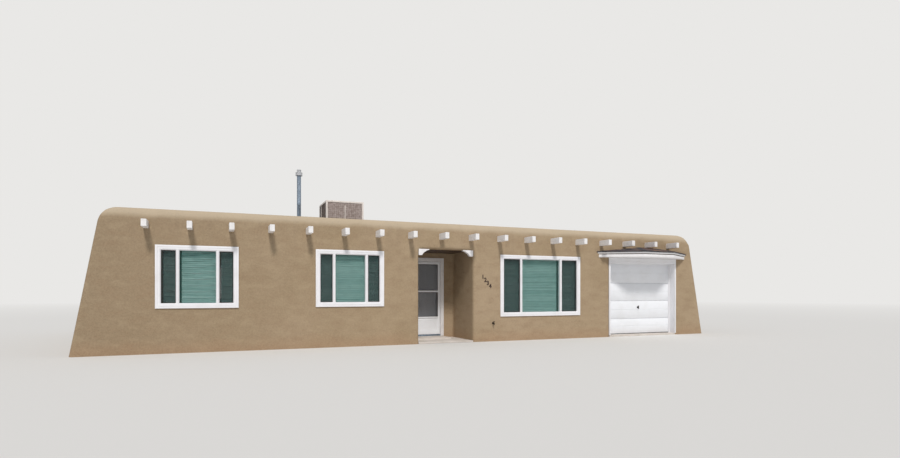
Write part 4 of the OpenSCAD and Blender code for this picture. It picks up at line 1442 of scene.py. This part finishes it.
def garage_door():
    low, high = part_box("garage_door")
    levels = [low.z] + [low.z + rise for rise in SECTION_TOPS] + [high.z]
    bm = bmesh.new()
    for foot, head in zip(levels, levels[1:]):
        tall = (head - foot) / MM
        mid = tall / 2
        lower = [(14, 1), (11, 3), (2, 6), (0, 9), (0, mid - 9), (1.5, mid - 7), (7, mid - 3)]
        upper = [(depth, tall - z) for depth, z in reversed(lower)]
        extruded(bm, lower + upper + [(45, tall - 1), (45, 1)], 0, low.x + 2 * MM,
                 high.x - 2 * MM, (low.y, foot))
    place(bm, "garage_door_sections", DOOR_STEEL, replaces=("garage_door",))
    bm = bmesh.new()
    extruded(bm, [(-7, 0), (-9, 5), (-6, 16), (1, 20), (20, 0)], 0, low.x + MM,
             high.x - MM, (low.y, low.z))
    place(bm, "garage_door_seal", RUBBER)


def garage_frame():
    low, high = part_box("garage_casing")
    door_low, door_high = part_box("garage_door")
    top = door_high.z + DOOR_GAP + GARAGE_TRIM * MM
    front, buried = low.y, FRONT_Y + IN_WALL * MM
    wall, door, back = ((y - front) / MM for y in (buried, door_low.y, high.y))
    clear, stop = GARAGE_TRIM, GARAGE_TRIM + GARAGE_STOP
    bm = bmesh.new()
    mitred_frame(bm, low, Vector((high.x, 0, top)), [
        (0, wall), (0, 3), (3, 0), (30, 0), (33, 3), (36, 3), (39, 1), (clear - 2, 1),
        (clear, 3), (clear, door - GARAGE_STOP), (stop - 4, door - GARAGE_STOP),
        (stop, door - GARAGE_STOP + 5), (stop, door - 1), (clear, door - 1),
        (clear, back), (clear - GARAGE_JAMB, back), (clear - GARAGE_JAMB, wall)],
        front, open_foot=True)
    block(bm, (low.x, front + 2 * MM, top + MM), (high.x, buried, high.z))
    block(bm, (low.x + 20 * MM, buried, top - 10 * MM),
          (high.x - 20 * MM, high.y, high.z - 20 * MM))
    place(bm, "garage_frame", DOOR_PAINT, replaces=("garage_casing",),
          bevel=MM, segments=1)


garage_door()
garage_frame()
softened("garage_door_handle", DARK_METAL, bevel=2 * MM)

# %% [markdown]
# ## Canopy
# A shallow hipped roof, half a hexagon in plan, shelters the garage door. Its
# fascia has a band on top, a shadow groove and a deeper band below; a dark strip
# set in the groove is painted shadow. The same outline, moved in by each step of
# the profile, makes the mitres come right at every corner.

# %% Canopy fascia and soffit
CANOPY_FRONT = 1.129
CANOPY_LOW, CANOPY_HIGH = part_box("canopy_fascia")
CANOPY_X = (CANOPY_LOW.x + CANOPY_HIGH.x) / 2
CANOPY_WALL = CANOPY_HIGH.x - CANOPY_LOW.x
CANOPY_OUT = CANOPY_HIGH.y - CANOPY_LOW.y
CANOPY_SIDE = (CANOPY_WALL - CANOPY_FRONT) / 2
CANOPY_SLANT = math.hypot(CANOPY_SIDE, CANOPY_OUT) / CANOPY_OUT


def canopy_plan(margin):
    """The half hexagon, moved in by a margin, from its west end to its east end."""
    front = CANOPY_FRONT / 2 - margin * (CANOPY_SLANT - CANOPY_SIDE / CANOPY_OUT)
    wall = CANOPY_WALL / 2 - margin * CANOPY_SLANT
    y = CANOPY_LOW.y + margin
    return [(CANOPY_X - wall, CANOPY_HIGH.y), (CANOPY_X - front, y),
            (CANOPY_X + front, y), (CANOPY_X + wall, CANOPY_HIGH.y)]


def canopy_sweep(profile):
    """Sweeps a closed profile of (margin, height) round the canopy's three sides."""
    bm = bmesh.new()
    loops = [[bm.verts.new((x, y, CANOPY_LOW.z + z * MM))
              for x, y in canopy_plan(margin * MM)] for margin, z in profile]
    skin(bm, loops + loops[:1], 3)
    for i in (0, 3):
        bm.faces.new([loop[i] for loop in loops])
    bmesh.ops.recalc_face_normals(bm, faces=bm.faces[:])
    return bm


def fascia():
    tall = (CANOPY_HIGH.z - CANOPY_LOW.z) / MM
    upper, lower = tall - 45, 82
    bm = canopy_sweep([
        (1, tall), (0, tall - 2), (0, upper + 4), (4, upper), (40, upper), (40, lower),
        (23, lower), (20, lower - 4), (20, 4), (24, 0), (50, 0), (52, 4), (52, tall)])
    # A dark stained strip deep in the groove: painted shadow.
    groove = canopy_sweep([(34, upper + 1), (34, lower - 1), (42, lower - 1),
                           (42, upper + 1)])
    place(groove, "canopy_groove_painted_shadow", STAINED_WOOD_PAINTED_SHADE)
    (wx0, wy), (fx0, fy), (fx1, _), (wx1, _) = canopy_plan(51 * MM)
    deep = wy - fy
    count = round(deep / BOARD)
    for i in range(count):
        rows = []
        for y in (fy + deep * i / count + MM, fy + deep * (i + 1) / count - MM):
            share = (y - fy) / deep
            rows.append([(fx0 + (wx0 - fx0) * share, y), (fx1 + (wx1 - fx1) * share, y)])
        extruded(bm, rows[0] + rows[1][::-1], 2, CANOPY_LOW.z + 4 * MM,
                 CANOPY_LOW.z + 18 * MM, unit=1.0)
    place(bm, "canopy_fascia_boards", TRIM_X, replaces=("canopy_fascia",),
          bevel=1.5 * MM, segments=1)


fascia()

# %% [markdown]
# ## Shingles
# Asphalt shingles are laid in courses from the eave up, each course shifted by
# half a tab. The makers blend slate grey, brown and rust granules, so each tab
# has its own tone. Courses are rows of one tab, laid flat, then cut along the
# hips and closed again there, before the slope is tilted into its place.

# %% Shingles
SHINGLE_TONES = ((0.0, "#454850"), (0.22, "#6a4f44"), (0.40, "#41454f"), (0.56, "#7c5142"),
                 (0.72, "#565961"), (0.88, "#94755c"))
TAB = 0.30
EXPOSURE = 0.118
TAB_LONG = 0.185
TAB_THICK = 5 * MM
TAB_GAP = 5 * MM
EAVE_TRIM = 5 * MM
CAP_WIDE = 70 * MM
CAP_LONG = 0.16
RIDGE = 0.42


def shingle_material():
    look = Look("blended_asphalt_shingle", "#5d4f4b", 0.92)
    blotch = maths(look.tree, look.patches(0.09, 3.0), "MULTIPLY", 0.5)
    tone = maths(look.tree, look.tone(), "ADD", blotch)
    tone = add(look.tree, "ShaderNodeMath", {0: tone, 1: 0.25}, operation="SUBTRACT",
               use_clamp=True).outputs[0]
    ramp = add(look.tree, "ShaderNodeValToRGB", {0: tone})
    stops = ramp.color_ramp.elements
    for i, (at, colour) in enumerate(SHINGLE_TONES):
        stop = stops[i] if i < 2 else stops.new(at)
        stop.position, stop.color = at, paint(colour)
    look.colour = ramp.outputs[0]
    grains = look.patches(6 * MM, 2.0, 0.8)
    look.coat(grains, 0.45, 0.62, 0.35, "#2f2d2d")
    look.relief(grains, 1.5 * MM, 0.8)
    return look.done()


SHINGLE = shingle_material()


def slope_shingles(eave_a, eave_b, top_a, top_b, seed):
    """The courses of one roof slope, in place."""
    along = (eave_b - eave_a).normalized()
    normal = along.cross(top_a - eave_a).normalized()
    up = normal.cross(along)
    length = (eave_b - eave_a).length
    rise = (top_a - eave_a).dot(up)
    top_left, top_right = (top_a - eave_a).dot(along), (top_b - eave_a).dot(along)
    tab = sheet(8, 5, TAB_THICK, lambda u, v: Vector(
        (u * (TAB - TAB_GAP), (v + 0.5) * TAB_LONG, TAB_THICK * (1.05 - 1.7 * v))))
    courses = [row(tab, SHINGLE, (TAB / 2 * (i % 2 - 1), i * EXPOSURE, 0), (TAB, 0, 0),
                   int(length / TAB) + 3, shift=(2 * MM, 2 * MM, 0.4 * MM),
                   turn=(0, 0, 0.006), seed=seed * 20 + i)
               for i in range(math.ceil(rise / EXPOSURE))]
    bm = joined(courses)
    for at, outwards in (((0, 0, 0), (-rise, top_left, 0)),
                         ((length, 0, 0), (rise, length - top_right, 0)),
                         ((0, EAVE_TRIM, 0), (0, -1, 0)), ((0, rise, 0), (0, 1, 0))):
        cut(bm, at, outwards, clear_outer=True)
        bmesh.ops.holes_fill(bm, edges=[e for e in bm.edges if len(e.link_faces) == 1])
    frame_of_slope = Matrix((along, up, normal)).transposed().to_4x4()
    bm.transform(Matrix.Translation(eave_a) @ frame_of_slope)
    return mesh_of(bm)


def hip_caps(bm, foot, top, sides):
    """Bent caps along a hip; the two sides point down its slopes."""
    along = (top - foot).normalized()
    over = Vector()
    for side in sides:
        normal = side.cross(along)
        over += normal if normal.z > 0 else -normal
    over.normalize()
    left, right = (side * CAP_WIDE for side in sides)
    length = (top - foot).length
    count = math.ceil(length / EXPOSURE)
    for i in range(count):
        reach = length * i / count
        trim = 42 * MM if i == 0 else 0.0
        base = []
        for at, lift, back in ((reach, 15 * MM, trim),
                               (min(length, reach + CAP_LONG), 8 * MM, 0.0)):
            for side, set_back in ((left, back), (Vector(), back / 4), (right, back)):
                base.append(foot + along * (at + set_back) + side + over * lift)
        lower = [bm.verts.new(p) for p in base]
        upper = [bm.verts.new(p + over * TAB_THICK) for p in base]
        for quad in ((0, 1, 4, 3), (1, 2, 5, 4)):
            bm.faces.new([lower[k] for k in quad])
            bm.faces.new([upper[k] for k in reversed(quad)])
        edge = (0, 1, 2, 5, 4, 3)
        skin(bm, [[loop[k] for k in edge] for loop in (lower, upper)], 6)
    bmesh.ops.recalc_face_normals(bm, faces=bm.faces[:])


def canopy_shingles():
    low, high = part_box("canopy_roof")
    lap = CANOPY_LOW.x - low.x
    eave = [Vector((x, y, low.z + 10 * MM)) for x, y in canopy_plan(-lap / CANOPY_SLANT)]
    ridge = [Vector((CANOPY_X + x, high.y, high.z)) for x in (-RIDGE / 2, RIDGE / 2)]
    slopes = [slope_shingles(eave[i], eave[i + 1], ridge[a], ridge[b], i + 1)
              for i, (a, b) in enumerate(((0, 0), (0, 1), (1, 1)))]
    place(joined(slopes), "canopy_shingles", SHINGLE, degrees=20)
    bm = bmesh.new()
    for i, top in ((1, ridge[0]), (2, ridge[1])):
        along = (top - eave[i]).normalized()
        sides = [(eave[k] - eave[i]).normalized() for k in (i - 1, i + 1)]
        sides = [(side - along * side.dot(along)).normalized() for side in sides]
        hip_caps(bm, eave[i], top, sides)
    place(bm, "canopy_hip_caps", SHINGLE, degrees=20)
    finish("canopy_roof", SHINGLE)


canopy_shingles()

# %% [markdown]
# ## Cooler
# An evaporative cooler stands on the roof: a cream cabinet of folded sheet with
# fibre pads on three sides. Air is drawn through the wet pads, so hard water
# leaves a chalky crust on them; the side pads are darker than the front one,
# painted shade. The last bay is lined with tarred sheet and holds the blower's
# housing, which blows the cooled air down through the roof; both are near-black,
# which also paints the shade inside the bay.

# %% Cooler
def cabinet_material():
    look = Look("baked_cream_enamel", "#e4dbd2", 0.5)
    stain = look.patches(0.12, 5.0, stretch=(1.0, 1.0, 0.35))
    look.coat(stain, 0.5, 0.8, 0.5, "#b39f8c", over="#e6ddd6")
    look.sheen(stain, 0.42, 0.7)
    look.relief(stain, MM, 0.3)
    return look.done()


def pad_material(name, wet, crusted, chalk):
    look = Look(name, crusted, 0.95)
    look.coat(look.patches(0.06, 6.0, 0.7), 0.35, 0.7, 1.0, crusted, over=wet)
    runs = look.patches(0.10, 4.0, stretch=(1.0, 1.0, 0.12))
    look.coat(runs, 0.55, 0.75, 0.6, chalk)
    fibre = look.patches(12 * MM, 3.0, 0.8, (1.0, 1.0, 0.5))
    look.coat(fibre, 0.5, 0.68, 0.5, "#6b5f59")
    look.relief(fibre, 5 * MM, 0.8)
    return look.done()


CREAM = cabinet_material()
FIBRE = pad_material("crusted_fibre_pad", "#96867f", "#cbbdb8", "#d4cbc6")
# The side pads take a darker copy of the pad material: painted shade.
SIDE_FIBRE_PAINTED_SHADE = pad_material("side_fibre_pad_painted_shade", "#6a615c", "#8c827c", "#958b84")
GUARD_WIRE = worn_metal("rusted_guard_wire", "#84756c", "#6d5343", 0.6, 0.3)
# Near-black tarred sheet, which also paints the shade inside the cooler's bay.
TARRED_BAY_SHADE = worn_metal("tarred_steel_painted_bay_shade", "#1d1b1a", "#2e2a27", 0.7, 0.0)
COOLER_LOW, COOLER_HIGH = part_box("air_cooler")
COOLER_X = (COOLER_LOW.x + COOLER_HIGH.x) / 2
PAD_STEP = 18 * MM
PAD_LUMP = 7 * MM
GRID_PITCH = 52 * MM
GRID_WIRE = 3.2 * MM
GRID_OFF = 2.5 * MM
POST = 46 * MM
BAY = 276 * MM
LEG = 110 * MM
LINING = 3 * MM
BLOWER_WIDE, BLOWER_TALL = 0.30, 0.26


def pad(low, high):
    """A fibre pad whose faces are lumpy, filling its box."""
    bm = bmesh.new()
    block(bm, low, high)
    for axis in range(3):
        normal = Vector([float(k == axis) for k in range(3)])
        for i in range(1, int((high[axis] - low[axis]) / PAD_STEP)):
            cut(bm, low + normal * (i * PAD_STEP), normal)
    middle = (low + high) / 2
    for v in bm.verts:
        lump = 0.5 + 0.5 * noise.noise(v.co / 0.07) + 0.4 * noise.noise(v.co / 0.025)
        for axis in (0, 1):
            half = (high[axis] - low[axis]) / 2
            if abs(abs(v.co[axis] - middle[axis]) - half) < 1e-5:
                inward = -1 if v.co[axis] > middle[axis] else 1
                v.co[axis] += inward * max(0.0, lump) * PAD_LUMP
    return mesh_of(bm)


def guard(low, high, axis, face, out):
    """Wires across a pad's outer face: axis 0 runs in X, axis 1 in Y."""
    meshes = []
    for along, across, depth, seed in ((2, axis, face, 2),
                                       (axis, 2, face + out * 2 * MM, 3)):
        step = Vector()
        step[across] = GRID_PITCH
        count = int((high[across] - low[across]) / GRID_PITCH)
        start = (low + high) / 2 - step * ((count - 1) / 2)
        start[1 - axis] = depth
        bar = wire(high[along] - low[along], along, GRID_WIRE, 6)
        meshes.append(row(bar, GUARD_WIRE, start, step, count, seed=seed))
    return meshes


def cooler():
    softened("air_cooler", CREAM, bevel=5 * MM)
    front, sides, wires = [], [], []
    for low, high in parts_of("cooler_pads"):
        if high.x - low.x > high.y - low.y:
            front.append(pad(low, high))
            wires += guard(low, high, 0, low.y - GRID_OFF, -1)
        else:
            sides.append(pad(low, high))
            out, face = (-1, low.x) if low.x < COOLER_X else (1, high.x)
            wires += guard(low, high, 1, face + out * GRID_OFF, out)
    place(joined(front), "cooler_front_pad", FIBRE,
          replaces=("cooler_pads",), degrees=50)
    # Side pads in the darker copy of the fibre: painted shade.
    place(joined(sides), "cooler_side_pads", SIDE_FIBRE_PAINTED_SHADE, degrees=50)
    place(joined(wires), "cooler_pad_guards", GUARD_WIRE)
    bm = bmesh.new()
    extruded(bm, [(-9, 0), (9, 0), (9, 9), (-9, 9)], 2, COOLER_LOW.z + 0.14,
             COOLER_HIGH.z - 0.12, (COOLER_X, COOLER_LOW.y + 3 * MM))
    place(bm, "cooler_middle_bar", CREAM, bevel=2 * MM)


def blower_bay():
    """The tarred lining of the rear bay and the blower's housing inside it, near-black,
    partly painted shade for the bay.
    """
    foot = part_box("roof_deck")[1].z + LEG
    x0, x1 = COOLER_LOW.x + 6 * MM, COOLER_HIGH.x - 6 * MM
    y0, y1 = COOLER_HIGH.y - BAY + POST, COOLER_HIGH.y - POST
    z0, z1 = foot + POST, COOLER_HIGH.z - POST
    bm = bmesh.new()
    block(bm, (x0, y0, z0), (x1, y0 + LINING, z1))
    block(bm, (x0, y1 - LINING, z0), (x1, y1, z1))
    block(bm, (x0 + MM, y0 + MM, z0 + MM), (x1 - MM, y1 - MM, z0 + LINING))
    block(bm, (x0 + MM, y0 + MM, z1 - LINING), (x1 - MM, y1 - MM, z1 - MM))
    place(bm, "cooler_bay_painted_shade_lining", TARRED_BAY_SHADE)
    bm = bmesh.new()
    outline = [(BLOWER_WIDE * math.cos(a), (z0 + z1) / 2 + 0.06 + BLOWER_TALL * math.sin(a))
               for a in (math.pi * i / 16 for i in range(17))]
    outline += [(-BLOWER_WIDE, z0 + 0.02), (BLOWER_WIDE, z0 + 0.02)]
    extruded(bm, outline, 1, y0 + 12 * MM, y1 - 12 * MM, (COOLER_X, 0), 1.0)
    place(bm, "cooler_blower_housing", TARRED_BAY_SHADE, bevel=4 * MM)


cooler()
blower_bay()

# %% [markdown]
# ## Flue
# The flue is a galvanised pipe in two lengths, with a flashing of the same zinc
# at its foot, a storm collar above that, and a cap in a lighter zinc. All of it
# is round, so a profile is turned round the pipe's axis, and a folded seam runs
# up the back.

# %% Flue
PIPE_R = 57
CAP_BAND, CAP_CROWN = 92, 63
FLUE_SIDES = 64


def flue():
    low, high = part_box("flue_pipe")
    cap_low, cap_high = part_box("flue_cap")
    x, y = (cap_low.x + cap_high.x) / 2, (cap_low.y + cap_high.y) / 2
    r, foot = PIPE_R, (high.x - low.x) / 2 / MM
    tall = (high.z - low.z) / MM
    joint = tall * 0.52
    bm = bmesh.new()
    lathe(bm, [
        (0, 0), (foot, 0), (foot, 3), (foot - 3, 5), (r + 38, 6), (r + 34, 10),
        (r + 8, 88), (r + 6, 96), (r + 28, 92), (r + 30, 95), (r + 6, 118), (r, 122),
        (r, joint - 26), (r + 3, joint - 23), (r + 3, joint - 19), (r, joint - 16),
        (r, joint), (r + 2, joint), (r + 2, joint + 3), (r + 1, joint + 6),
        (r + 1, tall), (0, tall)], (x, y, low.z), segments=FLUE_SIDES)
    back = y + r * MM
    block(bm, (x - 4 * MM, back - 2 * MM, low.z + 0.13),
          (x + 4 * MM, back + 4 * MM, high.z - 4 * MM))
    place(bm, "galvanised_flue", SKY_TINTED_ZINC, replaces=("flue_pipe",), bevel=0.8 * MM,
          segments=1)
    wide, tall = (cap_high.x - cap_low.x) / 2 / MM, (cap_high.z - cap_low.z) / MM
    band, crown = CAP_BAND, CAP_CROWN
    bm = bmesh.new()
    lathe(bm, [
        (r + 2, 4), (wide - 4, 0), (wide, 3), (wide, 8), (wide - 3, 11),
        (wide - 3, band - 14), (wide, band - 10), (wide, band - 4), (wide - 4, band),
        (crown + 2, band + 10), (crown - 2, band + 14), (crown - 2, tall - 18),
        (crown, tall - 14), (crown - 1, tall - 9), (crown - 12, tall), (0, tall)],
        (x, y, cap_low.z), segments=FLUE_SIDES)
    place(bm, "stepped_flue_cap", CAP_ZINC, replaces=("flue_cap",))


flue()

# %% [markdown]
# ## House number and tap
# Four plain digits step down the wall east of the entry. They are text, turned
# into a mesh, a few millimetres thick and let into the stucco.

# %% House number and tap
DIGITS = "1234"
DIGIT_TALL = 0.108
DIGIT_SHARE_OF_LINE = 0.7
DIGIT_FIRST = Vector((0.735, FRONT_Y + MM, 1.70))
DIGIT_STEP = Vector((0.072, 0.0, -0.080))


def house_number():
    made = []
    for i, digit in enumerate(DIGITS):
        words = bpy.data.curves.new("digit", "FONT")
        words.body = digit
        words.size = DIGIT_TALL / DIGIT_SHARE_OF_LINE
        words.extrude = 7 * MM
        words.offset = 3 * MM
        words.align_x = words.align_y = "CENTER"
        words.resolution_u = 4
        mesh = evaluated(stand("digit", words))
        mesh.transform(Matrix.Translation(DIGIT_FIRST + i * DIGIT_STEP)
                       @ Matrix.Rotation(math.pi / 2, 4, "X"))
        made.append(mesh)
    bm = joined(made)
    bmesh.ops.remove_doubles(bm, verts=bm.verts, dist=0.02 * MM)
    place(bm, "house_number", DIGIT_PAINT)


house_number()
finish("hose_bib", TARNISHED)
